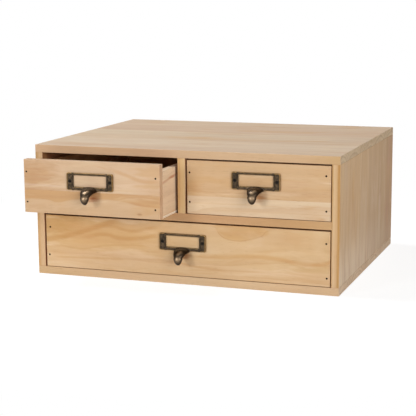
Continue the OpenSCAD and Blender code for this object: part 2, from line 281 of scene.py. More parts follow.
class Wood(Coat):
    """The material of one board, with places in millimetres along, across and through it.

    A mark's edge is ragged, and marks slant a little as they go through the board.
    """

    RAGGED_ALONG = 14.0
    RAGGED_ACROSS = 3.2
    WAVER = 1.3
    SLANT = 0.25
    GLANCING = 0.6
    SQUARE_ON = 0.9

    def __init__(self, name: str, grain: Grain, low: Vector, high: Vector, seed: float) -> None:
        """Measures the board.

        Args:
            name: The material's name.
            grain: How the wood lies.
            low: The board's lowest corner, in metres.
            high: Its highest corner.
            seed: What sets its ragged edges apart from another board's.
        """
        super().__init__(name)
        self.lengths = [abs(high[axis] - low[axis]) / MM for axis, _ in grain.value]
        xyz = self.split(self.coordinates("Object"))
        self.place = []
        for axis, sign in grain.value:
            start = low[axis] if sign > 0 else -high[axis]
            self.place.append(self.math("MULTIPLY_ADD", xyz[axis], sign / MM, -start / MM))
        normal = self.split(self.coordinates("Normal"))
        self.turned = [normal[axis] for axis, _ in grain.value]
        depth = self.place[Way.THROUGH]
        self.across = self.math("MULTIPLY_ADD", depth, self.SLANT, self.place[Way.ACROSS])
        along_part = self.math("DIVIDE", self.place[Way.ALONG], self.RAGGED_ALONG)
        across_part = self.math("DIVIDE", self.across, self.RAGGED_ACROSS)
        rough = self.noise(self.join(along_part, across_part, seed), 2.0)
        self.ragged = self.math("SUBTRACT", rough, 0.5)
        self.wavy = self.math("MULTIPLY_ADD", self.ragged, self.WAVER, self.across)

    def facing(self, way: Way, side: float = 0.0) -> Socket:
        """Picks out the faces that look in one of the board's directions.

        Args:
            way: The direction.
            side: The sign of the frame's axis that they look along, or 0 for both ways.

        Returns:
            One on those faces, nothing on the others.
        """
        turned = self.turned[way]
        turned = self.math("MULTIPLY", turned, side) if side else self.math("ABSOLUTE", turned)
        return self.span(turned, self.GLANCING, self.SQUARE_ON)

    def height(self, path: Sequence[Point]) -> Socket:
        """Follows a path over the board.

        Args:
            path: Its points, in millimetres along and across.

        Returns:
            The path's place across the board.
        """
        length, width = self.lengths[:2]
        points = [(x / length, y / width) for x, y in path]
        if points[0][0] > 0:
            points.insert(0, (0.0, points[0][1]))
        if points[-1][0] < 1:
            points.append((1.0, points[-1][1]))
        share = self.math("DIVIDE", self.place[Way.ALONG], length)
        return self.math("MULTIPLY", self.line(share, points), width)


def pine_figure() -> bpy.types.NodeTree:
    """Builds the shared group that draws pine's growth rings, tone, fibre and resin dashes.

    Returns:
        The node group. Its place is in millimetres along, across and through the board.
    """
    name = "pine figure"
    if name in bpy.data.node_groups:
        return bpy.data.node_groups[name]
    tree = bpy.data.node_groups.new(name, "ShaderNodeTree")
    tree.interface.new_socket("Place", in_out="INPUT", socket_type="NodeSocketVector")
    for item in ("Pith across", "Pith through", "Lean", "Ring width", "Wave", "Seed"):
        tree.interface.new_socket(item, in_out="INPUT", socket_type="NodeSocketFloat")
    for item in ("Late", "Tone", "Cloud", "Fibre", "Dash"):
        tree.interface.new_socket(item, in_out="OUTPUT", socket_type="NodeSocketFloat")
    g = Graph(tree)
    place, pith_a, pith_t, lean, ring_width, wave, seed = g.node("NodeGroupInput").outputs[:7]
    shift = g.vector("SCALE", (173.0, 61.0, 37.0), scale=seed)
    moved = g.vector("ADD", place, shift)
    # How long and how wide each pattern's spots are, in millimetres
    side_spots = (150, 42)
    deep_spots = (190, 60)
    wobble_spots = (34, 9)
    tone_spots = (210, 15)
    fibre_spots = (26, 0.55)
    dash_spots = (9, 0.42)
    cloud_spots = (85, 4.6, 12)
    # How much the rings wobble, and how unevenly wide and dark they are
    wobble = 0.22
    uneven_pace = 0.41
    uneven_reach = 1.7
    faintest = 0.25

    def patterned(spots: Point, detail: float, roughness: float = 0.5) -> Socket:
        """Gives noise with spots of this length and width, less a half."""
        scaled = g.vector("MULTIPLY", moved, (1 / spots[0], 1 / spots[1], 1 / spots[1]))
        return g.math("SUBTRACT", g.noise(scaled, detail, roughness), 0.5)

    def swing(spots: Point, reach: Socket, detail: float) -> Socket:
        """Gives noise centred on nothing, this far each way."""
        return g.math("MULTIPLY", patterned(spots, detail), g.math("MULTIPLY", reach, 2.0))

    along, across, through = g.split(place)
    side = g.math("SUBTRACT", across, pith_a)
    side = g.math("ADD", side, g.math("MULTIPLY", along, lean))
    side = g.math("ADD", side, swing(side_spots, wave, 1.0))
    deep = g.math("ADD", g.math("SUBTRACT", through, pith_t), swing(deep_spots, wave, 1.0))
    radius = g.vector("LENGTH", g.join(0.0, side, deep))
    radius = g.math("ADD", radius, swing(wobble_spots, g.math("MULTIPLY", wave, wobble), 2.0))
    rings = g.math("DIVIDE", radius, ring_width)
    uneven = g.noise(g.join(g.math("MULTIPLY", rings, uneven_pace), seed, 0.0), 1.0)
    rings = g.math("ADD", rings, g.math("MULTIPLY", uneven, uneven_reach))
    part = g.math("FRACT", rings)
    late = g.math("MULTIPLY", g.span(part, 0.3, 0.9), g.span(part, 0.93, 1.0, 1.0, 0.0))
    ring_number = g.math("ADD", g.math("FLOOR", rings), seed)
    chance = g.node("ShaderNodeTexWhiteNoise", {"W": ring_number}, noise_dimensions="1D")
    late = g.math("MULTIPLY", late, g.math("MULTIPLY_ADD", chance.outputs[0], 1 - faintest, faintest))
    tone = patterned(tone_spots, 3.0)
    cloud = g.vector("ADD", g.join(along, radius, deep), shift)
    cloud = g.noise(g.vector("MULTIPLY", cloud, tuple(1 / size for size in cloud_spots)), 3.0, 0.6)
    cloud = g.math("SUBTRACT", cloud, 0.5)
    fibre = patterned(fibre_spots, 3.0, 0.65)
    dash = g.span(patterned(dash_spots, 0.0), 0.22, 0.32)
    g.node("NodeGroupOutput", dict(enumerate((late, tone, cloud, fibre, dash))))
    return tree


@dataclass(frozen=True)
class Stave:
    """One of the strips glued edge to edge into a board, with its own colour and heart."""

    start: float
    tint: Colour
    pith: float = 30.0
    depth: float = 40.0
    seed: float = 0.0


@dataclass(frozen=True)
class Streak:
    """A soft dark or light line that wanders along a board."""

    path: tuple[Point, ...]
    width: float
    tint: Colour
    strength: float = 0.5

    CORE = 0.15
    FADE = 8.0

    def cover(self, wood: Wood) -> Socket:
        """Draws the streak, which fades out where its path ends on the board.

        Args:
            wood: The board.

        Returns:
            How much of the wood it hides.
        """
        away = wood.math("ABSOLUTE", wood.math("SUBTRACT", wood.wavy, wood.height(self.path)))
        cover = wood.span(away, self.width * self.CORE, self.width, self.strength, 0.0)
        along = wood.place[Way.ALONG]
        first = self.path[0][0]
        last = self.path[-1][0]
        if first > 0:
            cover = wood.math("MULTIPLY", cover, wood.span(along, first - self.FADE, first + self.FADE))
        if last < wood.lengths[Way.ALONG]:
            ended = wood.span(along, last - self.FADE, last + self.FADE, 1.0, 0.0)
            cover = wood.math("MULTIPLY", cover, ended)
        return cover


@dataclass(frozen=True)
class Field:
    """An area of another colour between two lines that wander along a board."""

    upper: tuple[Point, ...]
    lower: tuple[Point, ...]
    tint: Colour
    strength: float = 0.8
    soft_upper: float = 1.0
    soft_lower: float = 1.5

    def cover(self, wood: Wood) -> Socket:
        """Draws the area.

        Args:
            wood: The board.

        Returns:
            How much of the wood it hides.
        """
        below = wood.span(wood.math("SUBTRACT", wood.wavy, wood.height(self.upper)), 0.0, self.soft_upper)
        above = wood.span(wood.math("SUBTRACT", wood.height(self.lower), wood.wavy), 0.0, self.soft_lower)
        return wood.math("MULTIPLY", wood.math("MULTIPLY", below, above), self.strength)


@dataclass(frozen=True)
class Patch:
    """A soft-edged oval of another colour, also used for knots."""

    centre: Point
    radii: Point
    tint: Colour
    strength: float = 0.6
    soft: float = 0.5
    ragged: float = 0.35

    def cover(self, wood: Wood) -> Socket:
        """Draws the oval.

        Args:
            wood: The board.

        Returns:
            How much of the wood it hides.
        """
        parts = []
        for place, middle, radius in zip((wood.place[Way.ALONG], wood.across), self.centre, self.radii):
            parts.append(wood.math("DIVIDE", wood.math("SUBTRACT", place, middle), radius))
        away = wood.vector("LENGTH", wood.join(*parts, 0.0))
        away = wood.math("MULTIPLY_ADD", wood.ragged, self.ragged * 2, away)
        return wood.span(away, 1 - self.soft, 1.0, self.strength, 0.0)


@dataclass(frozen=True)
class EdgeStripe:
    """Colours on a board's edges, which change either along it or through its thickness."""

    run: Way
    stops: tuple[tuple[float, Colour], ...]
    strength: float = 0.85

    WANDER = (60.0, 8.0, 8.0)
    WAVER_ALONG = 0.12
    WAVER_THROUGH = 0.3

    def laid(self, wood: Wood, colour: Socket) -> Socket:
        """Lays the stripes on the faces that look across the grain.

        Args:
            wood: The board.
            colour: The colour so far.

        Returns:
            The new colour.
        """
        reach = self.WAVER_ALONG if self.run is Way.ALONG else self.WAVER_THROUGH
        share = wood.math("DIVIDE", wood.place[self.run], wood.lengths[self.run])
        wander = wood.noise(wood.vector("DIVIDE", wood.join(*wood.place), self.WANDER), 2.0)
        share = wood.math("MULTIPLY_ADD", wood.math("SUBTRACT", wander, 0.5), reach, share)
        stripes = wood.steps(share, [(at, linear(tint)) for at, tint in self.stops], "EASE")
        return wood.mix(wood.math("MULTIPLY", wood.facing(Way.ACROSS), self.strength), colour, stripes)


@dataclass(frozen=True)
class PineFinish:
    """Planed and lightly waxed pine for one board.

    The faces that look into a bay, named by the sign of the way they face, are darkened with painted
    shade.
    """

    name: str
    staves: tuple[Stave, ...] = (Stave(0, (213, 179, 140)),)
    marks: tuple[Union[Streak, Field, Patch], ...] = ()
    edge: Optional[EdgeStripe] = None
    ring_width: float = 5.2
    wave: float = 7.0
    lean: float = 0.03
    contrast: float = 0.42
    cloud: float = 0.5
    late: Colour = (190, 142, 92)
    warm: Colour = (202, 158, 108)
    pale: Colour = (224, 197, 162)
    glue: Colour = (150, 108, 70)
    resin: Colour = (158, 106, 62)
    end_tint: Colour = (200, 168, 130)
    end_ring: Colour = (150, 112, 76)
    pore: Colour = (130, 100, 70)
    # Painted shade in the bays: which faces look inward, the shade's tint and its strength
    shaded_inward: tuple[float, ...] = ()
    bay_shade_tint: Colour = (146, 78, 36)
    bay_shade_strength: float = 0.8
    end_strength: float = 0.85
    seed: float = 0.0
    roughness: float = 0.56

    PITH_REACH = 200.0
    SEED_REACH = 20.0
    CLOUD_REACH = 0.2
    SEAM_CORE = 0.1
    SEAM_EDGE = 0.35
    SEAM_DARK = 0.16
    END_CONTRAST = 0.2
    PORE_PACE = 1.6
    PORE_DARK = 0.4
    TONE_LIGHT = 0.22
    TONE_GREEN = 0.16
    TONE_BLUE = 0.26
    FIBRE_LIGHT = 0.12
    DASH_DARK = 0.3
    FIBRE_ROUGH = 0.25
    LATE_SHEEN = -0.08
    END_ROUGH = 0.2
    LATE_RAISED = 0.5
    DASH_SUNK = -0.6

    def material(self, grain: Grain, low: Vector, high: Vector) -> bpy.types.Material:
        """Builds the board's material.

        Args:
            grain: How the wood lies.
            low: The board's lowest corner, in metres.
            high: Its highest corner.

        Returns:
            The material.
        """
        wood = Wood(self.name, grain, low, high, self.seed)
        figure = self.figure(wood)
        colour = self.staved(wood)
        for mark in self.marks:
            colour = wood.mix(mark.cover(wood), colour, linear(mark.tint))
        # Painted shade: faces that look into a bay are darkened towards deep brown
        for side in self.shaded_inward:
            bay_shade = wood.math("MULTIPLY", wood.facing(Way.THROUGH, side), self.bay_shade_strength)
            colour = wood.mix(bay_shade, colour, linear(self.bay_shade_tint))
        warmth = wood.span(figure["cloud"], 0.0, self.CLOUD_REACH, 0.0, self.cloud)
        colour = wood.mix(warmth, colour, linear(self.warm))
        paleness = wood.span(figure["cloud"], -self.CLOUD_REACH, 0.0, self.cloud, 0.0)
        colour = wood.mix(paleness, colour, linear(self.pale))
        colour = wood.mix(wood.math("MULTIPLY", figure["late"], self.contrast), colour, linear(self.late))
        if self.edge:
            colour = self.edge.laid(wood, colour)
        end_on = wood.facing(Way.ALONG)
        end_share = wood.math("MULTIPLY", end_on, self.end_strength)
        colour = wood.mix(end_share, colour, self.end_grain(wood, figure))
        return self.waxed(wood, self.toned(wood, colour, figure), figure, end_on)

    def heart(self, stave: Stave) -> tuple[float, float, float, float]:
        """Packs a stave's pith, depth and seed into values from 0 to 1 for a ramp."""
        reach = self.PITH_REACH
        pith, depth = ((part + reach) / (2 * reach) for part in (stave.pith, stave.depth))
        return (pith, depth, stave.seed / self.SEED_REACH, 1.0)

    def chosen(self, wood: Wood, values: Sequence[tuple[float, ...]]) -> Socket:
        """Picks each stave's own value across the board.

        Args:
            wood: The board.
            values: Four-part values, one for each stave.

        Returns:
            The value of the stave.
        """
        width = wood.lengths[Way.ACROSS]
        share = wood.math("DIVIDE", wood.place[Way.ACROSS], width)
        starts = [min(0.999, stave.start / width) for stave in self.staves]
        return wood.steps(share, list(zip(starts, values)), "CONSTANT")

    def figure(self, wood: Wood) -> dict[str, Socket]:
        """Draws the growth rings of each stave.

        Args:
            wood: The board.

        Returns:
            The figure's outputs by name.
        """
        heart = wood.split(self.chosen(wood, [self.heart(stave) for stave in self.staves]))
        reach = self.PITH_REACH
        feeds = {
            "Place": wood.join(*wood.place),
            "Pith across": wood.math("MULTIPLY_ADD", heart[0], 2 * reach, -reach),
            "Pith through": wood.math("MULTIPLY_ADD", heart[1], 2 * reach, -reach),
            "Seed": wood.math("MULTIPLY_ADD", heart[2], self.SEED_REACH, self.seed),
            "Lean": self.lean,
            "Ring width": self.ring_width,
            "Wave": self.wave,
        }
        tree = wood.node("ShaderNodeGroup", feeds, node_tree=pine_figure())
        return {socket.name.lower(): socket for socket in tree.outputs}

    def staved(self, wood: Wood) -> Socket:
        """Gives each stave its own colour, with a thin glue line before the next.

        Args:
            wood: The board.

        Returns:
            The colour.
        """
        colour = self.chosen(wood, [linear(stave.tint) for stave in self.staves])
        for stave in self.staves[1:]:
            away = wood.math("ABSOLUTE", wood.math("SUBTRACT", wood.place[Way.ACROSS], stave.start))
            seam = wood.span(away, self.SEAM_CORE, self.SEAM_EDGE, self.SEAM_DARK, 0.0)
            colour = wood.mix(seam, colour, linear(self.glue))
        return colour

    def end_grain(self, wood: Wood, figure: dict[str, Socket]) -> Socket:
        """Draws the rings and pores of the sawn end.

        Args:
            wood: The board.
            figure: The figure's outputs.

        Returns:
            The end's colour.
        """
        ringed = wood.math("MULTIPLY", figure["late"], self.contrast + self.END_CONTRAST)
        colour = wood.mix(ringed, linear(self.end_tint), linear(self.end_ring))
        pores = wood.noise(wood.vector("SCALE", wood.join(*wood.place), scale=self.PORE_PACE), 3.0, 0.7)
        return wood.mix(wood.span(pores, 0.45, 0.75, 0.0, self.PORE_DARK), colour, linear(self.pore))

    def toned(self, wood: Wood, colour: Socket, figure: dict[str, Socket]) -> Socket:
        """Adds broad tone, fine fibre and resin dashes.

        Args:
            wood: The board.
            colour: The colour so far.
            figure: The figure's outputs.

        Returns:
            The new colour.
        """
        light = wood.math("MULTIPLY_ADD", figure["tone"], self.TONE_LIGHT, 1.0)
        light = wood.math("MULTIPLY_ADD", figure["fibre"], self.FIBRE_LIGHT, light)
        green = wood.math("MULTIPLY_ADD", figure["tone"], self.TONE_GREEN, light)
        blue = wood.math("MULTIPLY_ADD", figure["tone"], self.TONE_BLUE, light)
        colour = wood.mix(1.0, colour, wood.join(light, green, blue), "MULTIPLY")
        return wood.mix(wood.math("MULTIPLY", figure["dash"], self.DASH_DARK), colour, linear(self.resin))

    def waxed(
        self, wood: Wood, colour: Socket, figure: dict[str, Socket], end_on: Socket
    ) -> bpy.types.Material:
        """Gives the surface its sheen and its raised late wood.

        Args:
            wood: The board.
            colour: The finished colour.
            figure: The figure's outputs.
            end_on: One on end grain.

        Returns:
            The finished material.
        """
        rough = wood.math("MULTIPLY_ADD", figure["fibre"], self.FIBRE_ROUGH, self.roughness)
        rough = wood.math("MULTIPLY_ADD", figure["late"], self.LATE_SHEEN, rough)
        rough = wood.math("MULTIPLY_ADD", end_on, self.END_ROUGH, rough)
        height = wood.math("MULTIPLY_ADD", figure["late"], self.LATE_RAISED, figure["fibre"])
        height = wood.math("MULTIPLY_ADD", figure["dash"], self.DASH_SUNK, height)
        feeds = {"Base Color": colour, "Roughness": rough, "Specular IOR Level": 0.3}
        return wood.surface(feeds, height, strength=0.55, depth=0.06)


@dataclass(frozen=True)
class PlywoodFinish:
    """Three-layer birch plywood: rotary-cut faces and an edge that shows the layers.

    Spots are how long and how wide a pattern's spots are, in millimetres.
    """

    name: str
    face: Colour = (219, 192, 152)
    figure_tint: Colour = (196, 160, 116)
    core: Colour = (176, 132, 90)
    core_light: Colour = (204, 166, 120)
    rim: Colour = (226, 198, 158)
    layers: int = 3
    seed: float = 0.0
    figure_spots: Point = (120.0, 34.0)
    figure_rings: float = 22.0
    fibre_spots: Point = (22.0, 0.7)
    fibre_light: float = 0.22
    fibre_rough: float = 0.3
    roughness: float = 0.66
    core_cover: float = 0.75
    rim_cover: float = 0.85

    def material(self, thin: Axis, low: Vector, high: Vector) -> bpy.types.Material:
        """Builds the sheet's material.

        Args:
            thin: The axis through the sheet.
            low: The sheet's lowest corner, in metres.
            high: Its highest corner.

        Returns:
            The material.
        """
        g = Coat(self.name)
        parts = g.split(g.millimetres())
        facing = g.split(g.coordinates("Normal"))
        on_edge = g.span(g.math("ABSOLUTE", facing[thin]), 0.4, 0.7, 1.0, 0.0)
        other = Axis.Z if thin == Axis.Y else Axis.Y

        def spotted(spots: Point, through: Feed) -> Socket:
            """Gives the place on the sheet counted in spots."""
            along = g.math("DIVIDE", parts[Axis.X], spots[0])
            return g.join(along, g.math("DIVIDE", parts[other], spots[1]), through)

        broad = spotted(self.figure_spots, self.seed)
        rings = g.math("MULTIPLY", g.noise(broad, 2.0), self.figure_rings)
        late = g.span(g.math("FRACT", rings), 0.35, 1.0, 0.0, 0.5)
        colour = g.mix(late, linear(self.face), linear(self.figure_tint))
        fibre = g.noise(spotted(self.fibre_spots, parts[thin]), 3.0, 0.6)
        fibre = g.math("SUBTRACT", fibre, 0.5)
        colour = g.mix(1.0, colour, g.math("MULTIPLY_ADD", fibre, self.fibre_light, 1.0), "MULTIPLY")
        thickness = (high[thin] - low[thin]) / MM
        depth = g.math("MULTIPLY_ADD", parts[thin], 1 / thickness, -low[thin] / MM / thickness)
        layer = g.math("FRACT", g.math("MULTIPLY", depth, self.layers / 2))
        inner = g.math("ABSOLUTE", g.math("SUBTRACT", layer, 0.5))
        dark = g.span(inner, 0.2, 0.28, self.core_cover, 0.0)
        core = g.mix(g.span(fibre, -0.2, 0.2), linear(self.core), linear(self.core_light))
        colour = g.mix(g.math("MULTIPLY", on_edge, self.rim_cover), colour, linear(self.rim))
        colour = g.mix(g.math("MULTIPLY", dark, on_edge), colour, core)
        rough = g.math("MULTIPLY_ADD", fibre, self.fibre_rough, self.roughness)
        return g.surface({"Base Color": colour, "Roughness": rough, "Specular IOR Level": 0.35}, fibre)


@dataclass(frozen=True)
class DowelFinish:
    """Turned beech with its short brown flecks."""

    name: str = "turned beech"
    base: Colour = (205, 164, 122)
    fleck: Colour = (150, 104, 68)
    fine: float = 0.5
    fleck_length: float = 3.0
    fibre_length: float = 18.0

    def material(self, along: Axis) -> bpy.types.Material:
        """Builds the material for dowels that lie along one axis.

        Args:
            along: The axis along the dowels.

        Returns:
            The material.
        """
        g = Coat(f"{self.name} {along.name.lower()}")
        place = g.millimetres()
        squeeze = [1 / self.fine] * 3
        squeeze[along] = 1 / self.fleck_length
        flecks = g.noise(g.vector("MULTIPLY", place, tuple(squeeze)), 1.0)
        squeeze[along] = 1 / self.fibre_length
        fibre = g.noise(g.vector("MULTIPLY", place, tuple(squeeze)), 3.0)
        colour = g.mix(g.span(flecks, 0.62, 0.72, 0.0, 0.7), linear(self.base), linear(self.fleck))
        colour = g.mix(1.0, colour, g.math("MULTIPLY_ADD", fibre, 0.3, 0.85), "MULTIPLY")
        return g.surface({"Base Color": colour, "Roughness": g.math("MULTIPLY_ADD", fibre, 0.25, 0.5)})


@dataclass(frozen=True)
class SteelFinish:
    """Wire steel for nails, pins and screws, bright or darkened, with its slot in the record.

    A pace is how many of a pattern's spots go into a millimetre.
    """

    name: str
    base: Colour
    stain: Colour
    slot: str
    roughness: float = 0.42
    metallic: float = 0.9
    shine: float = 0.5
    cloud_pace: float = 1.1
    grit_pace: float = 7.0
    grit_rough: float = 0.3

    def material(self) -> bpy.types.Material:
        """Builds the material, once for all that share it.

        Returns:
            The material.
        """
        if self.name in bpy.data.materials:
            return bpy.data.materials[self.name]
        g = Coat(self.name)
        place = g.millimetres()
        cloud = g.noise(g.vector("SCALE", place, scale=self.cloud_pace), 3.0, 0.6)
        grit = g.noise(g.vector("SCALE", place, scale=self.grit_pace), 2.0, 0.6)
        smoothest = self.roughness - self.grit_rough / 2
        feeds = {
            "Base Color": g.mix(g.span(cloud, 0.4, 0.65), linear(self.base), linear(self.stain)),
            "Roughness": g.math("MULTIPLY_ADD", grit, self.grit_rough, smoothest),
            "Metallic": self.metallic,
            "Specular IOR Level": self.shine,
        }
        return g.surface(feeds, grit, strength=0.4, depth=0.03)


@dataclass(frozen=True)
class BronzeFinish:
    """Cast bronze with a dark patina that is rubbed through to gold along its edges.

    A pace is how many of a pattern's spots go into a millimetre.
    """

    name: str = "antique bronze"
    dark: Colour = (50, 40, 28)
    mottle: Colour = (84, 68, 50)
    worn: Colour = (168, 132, 80)
    brown: Colour = (40, 28, 15)
    # The lighter colour of the polished crest and nose, which also paints their highlights
    rubbed: Colour = (136, 112, 84)
    # The near black of dirt in hollows and of the painted shade on the window's inner walls
    grime_and_shade: Colour = (12, 8, 5)
    cloud_pace: float = 0.45
    speck_pace: float = 2.6
    metallic: float = 0.8
    roughness: float = 0.34
    tongue_sheen: float = -0.16
    wear_sheen: float = -0.1
    coat: float = 0.4
    coat_roughness: float = 0.3

    def material(self, traces: Sequence[str]) -> bpy.types.Material:
        """Builds the casting's material.

        Args:
            traces: The attributes that hold its wear, its dirt and painted shade, its tongue, and its
                polish with painted highlights.

        Returns:
            The material.
        """
        g = Coat(self.name)
        place = g.millimetres()
        cloud = g.noise(g.vector("SCALE", place, scale=self.cloud_pace), 4.0, 0.62)
        speck = g.noise(g.vector("SCALE", place, scale=self.speck_pace), 3.0, 0.65)
        held = [g.node("ShaderNodeAttribute", attribute_name=name) for name in traces]
        wear, hollow, tongue, polish = (node.outputs["Fac"] for node in held)
        colour = g.mix(g.span(cloud, 0.4, 0.66), linear(self.dark), linear(self.mottle))
        colour = g.mix(g.span(speck, 0.58, 0.74, 0.0, 0.4), colour, linear(self.worn))
        colour = g.mix(tongue, colour, linear(self.brown))
        rubbed = g.math("MULTIPLY_ADD", g.math("SUBTRACT", speck, 0.5), 0.9, wear)
        rubbed = g.span(rubbed, 0.15, 0.7, 0.0, 0.9)
        rubbed = g.math("MULTIPLY", rubbed, g.math("MULTIPLY_ADD", tongue, -0.8, 1.0))
        colour = g.mix(rubbed, colour, linear(self.worn))
        # Polished spots on the tongue: worn bronze, lightened also as painted highlights
        colour = g.mix(polish, colour, linear(self.rubbed))
        # Dirt in hollows and round the screws, and painted shade on the window's inner walls
        colour = g.mix(g.span(hollow, 0.15, 0.8, 0.0, 0.9), colour, linear(self.grime_and_shade))
        rough = g.math("MULTIPLY_ADD", speck, 0.2, self.roughness)
        rough = g.math("MULTIPLY_ADD", tongue, self.tongue_sheen, rough)
        rough = g.math("MULTIPLY_ADD", polish, 0.1, rough)
        feeds = {
            "Base Color": colour,
            "Metallic": self.metallic,
            "Roughness": g.math("MULTIPLY_ADD", rubbed, self.wear_sheen, rough),
            "Coat Weight": g.math("MULTIPLY", polish, self.coat),
            "Coat Roughness": self.coat_roughness,
        }
        return g.surface(feeds, g.math("ADD", speck, g.math("MULTIPLY", cloud, 0.6)), depth=0.08)


def dress(node: str, material: bpy.types.Material) -> None:
    """Gives a board of the frame its material.

    Args:
        node: The board's name.
        material: Its finish.
    """
    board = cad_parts[node]
    board.data.materials.clear()
    board.data.materials.append(material)
    log.info("%s: dressed with %s", node, material.name)


def vertices(node: str) -> np.ndarray:
    """Reads the corners of a part of the frame, in metres, one row each."""
    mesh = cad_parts[node].data
    found = np.zeros(len(mesh.vertices) * 3, np.float32)
    mesh.vertices.foreach_get("co", found)
    return found.reshape(-1, 3).astype(float)


def heads(node: str, aim: Drive) -> list[Vector]:
    """Finds where the heads of a set of like fasteners are.

    Args:
        node: The set's name in the frame.
        aim: Which way its members are driven.

    Returns:
        The centre of each head's face.
    """
    head_reach = 3.2 * MM
    face_depth = 0.05 * MM
    axis = next(i for i, part in enumerate(aim.value) if part)
    flat = [i for i in range(3) if i != axis]
    corners = vertices(node)
    start = corners[:, axis].min() if aim.value[axis] > 0 else corners[:, axis].max()
    left = corners[np.abs(corners[:, axis] - start) < face_depth][:, flat]
    found = []
    while len(left):
        near = np.hypot(*(left - left[0]).T) < head_reach
        group = left[near]
        centre = Vector((0, 0, 0))
        centre[axis] = start
        for i, value in zip(flat, (group.min(0) + group.max(0)) / 2):
            centre[i] = value
        found.append(centre)
        left = left[~near]
    return found


@dataclass
class Fastener:
    """A turned nail, pin or screw, with its sizes in millimetres.

    The face and the rim are shares of the head's width and height. A foot of 1 leaves the
    head's underside flat, and a foot of 0 tapers it to the shank.
    """

    label: str
    head: float
    head_height: float
    shank: float
    length: float
    point: float
    face: float = 0.8
    rim: float = 0.2
    foot: float = 1.0
    slot_width: float = 0.0
    slot_depth: float = 0.0
    sides: int = 20
    turn_seed: int = 4

    NECK = 0.02
    TIP = 0.2
    BAR_LONG = 3.0
    BAR_DEEP = 2.0

    def sizes(self) -> dict[str, float]:
        """Names the tree's inputs and their values, in metres."""
        lengths = {
            "Head radius": self.head / 2,
            "Face radius": self.head * self.face / 2,
            "Rim height": self.head_height * self.rim,
            "Head height": self.head_height,
            "Foot radius": (self.shank + (self.head - self.shank) * self.foot) / 2,
            "Shank radius": self.shank / 2,
            "Length": self.length,
            "Point length": self.point,
            "Slot width": self.slot_width,
            "Slot depth": self.slot_depth,
        }
        return {name: value * MM for name, value in lengths.items()}

    def tree(self) -> bpy.types.NodeTree:
        """Builds, once, the Geometry Nodes tree that turns the fastener and drives it at each point.

        Returns:
            The tree, with one named input for each size and one for the material.
        """
        name = f"drive {self.label}"
        if name in bpy.data.node_groups:
            return bpy.data.node_groups[name]
        made = bpy.data.node_groups.new(name, "GeometryNodeTree")
        made.is_modifier = True
        made.interface.new_socket("Points", in_out="INPUT", socket_type="NodeSocketGeometry")
        for size in self.sizes():
            made.interface.new_socket(size, in_out="INPUT", socket_type="NodeSocketFloat")
        made.interface.new_socket("Finish", in_out="INPUT", socket_type="NodeSocketMaterial")
        made.interface.new_socket("Fasteners", in_out="OUTPUT", socket_type="NodeSocketGeometry")
        g = Graph(made)
        given = {socket.name: socket for socket in g.node("NodeGroupInput").outputs}
        shape = self.turned(g, given)
        if self.slot_depth:
            shape = self.slotted(g, given, shape)
        feeds = {"Points": given["Points"], "Instance": shape, "Rotation": self.turn(g)}
        placed = g.node("GeometryNodeInstanceOnPoints", feeds)
        real = g.node("GeometryNodeRealizeInstances", {"Geometry": placed.outputs[0]})
        feeds = {"Geometry": real.outputs[0], "Material": given["Finish"]}
        coat = g.node("GeometryNodeSetMaterial", feeds)
        g.node("NodeGroupOutput", {0: coat.outputs[0]})
        return made

    def turn(self, g: Graph) -> Socket:
        """Aims each fastener along its point's aim and spins it by chance about its axis.

        Args:
            g: The tree's graph.

        Returns:
            The rotation.
        """
        aim = g.node("GeometryNodeInputNamedAttribute", {"Name": "aim"}, data_type="FLOAT_VECTOR")
        feeds = {"Vector": aim.outputs["Attribute"]}
        aligned = g.node("FunctionNodeAlignRotationToVector", feeds, axis="Z")
        spin = g.node("FunctionNodeRandomValue", {"Seed": self.turn_seed}, data_type="FLOAT")
        limits = [s for s in spin.inputs if s.name in {"Min", "Max"} and s.type == "VALUE"]
        limits[0].default_value = 0.0
        limits[1].default_value = math.tau
        angle = [s for s in spin.outputs if s.type == "VALUE" and s.enabled][0]
        about = g.node("FunctionNodeAxisAngleToRotation", {"Axis": (0, 0, 1), "Angle": angle})
        feeds = {0: aligned.outputs[0], 1: about.outputs[0]}
        return g.node("FunctionNodeRotateRotation", feeds, rotation_space="LOCAL").outputs[0]

    def turned(self, g: Graph, given: dict[str, Socket]) -> Socket:
        """Sweeps a circle down the axis through the profile's six steps.

        Args:
            g: The tree's graph.
            given: The tree's inputs by name.

        Returns:
            The turned shape, its face at the origin and its point up the Z axis.
        """
        neck = g.math("ADD", given["Head height"], self.NECK * MM)
        taper = g.math("SUBTRACT", given["Length"], given["Point length"])
        depths = (0.0, given["Rim height"], given["Head height"], neck, taper, given["Length"])
        shank = given["Shank radius"]
        tip = g.math("MULTIPLY", shank, self.TIP)
        radii = (given["Face radius"], given["Head radius"], given["Foot radius"], shank, shank, tip)
        index = g.node("GeometryNodeInputIndex")

        def chosen(values: Sequence[Feed]) -> Socket:
            """Picks the value for each point of the profile."""
            pick = g.node("GeometryNodeIndexSwitch", {0: index.outputs[0]}, data_type="FLOAT")
            while len(pick.index_switch_items) < len(values):
                pick.index_switch_items.new()
            for socket, value in zip(pick.inputs[1:], values):
                g.feed(socket, value)
            return pick.outputs[0]

        line = g.node("GeometryNodeMeshLine", {"Count": len(depths)})
        curve = g.node("GeometryNodeMeshToCurve", {0: line.outputs[0]})
        feeds = {"Geometry": curve.outputs[0], "Position": g.join(0.0, 0.0, chosen(depths))}
        moved = g.node("GeometryNodeSetPosition", feeds)
        circle = g.node("GeometryNodeCurvePrimitiveCircle", {"Resolution": self.sides, "Radius": 1.0})
        feeds = {
            "Curve": moved.outputs[0],
            "Profile Curve": circle.outputs[0],
            "Scale": chosen(radii),
            "Fill Caps": True,
        }
        return g.node("GeometryNodeCurveToMesh", feeds).outputs[0]

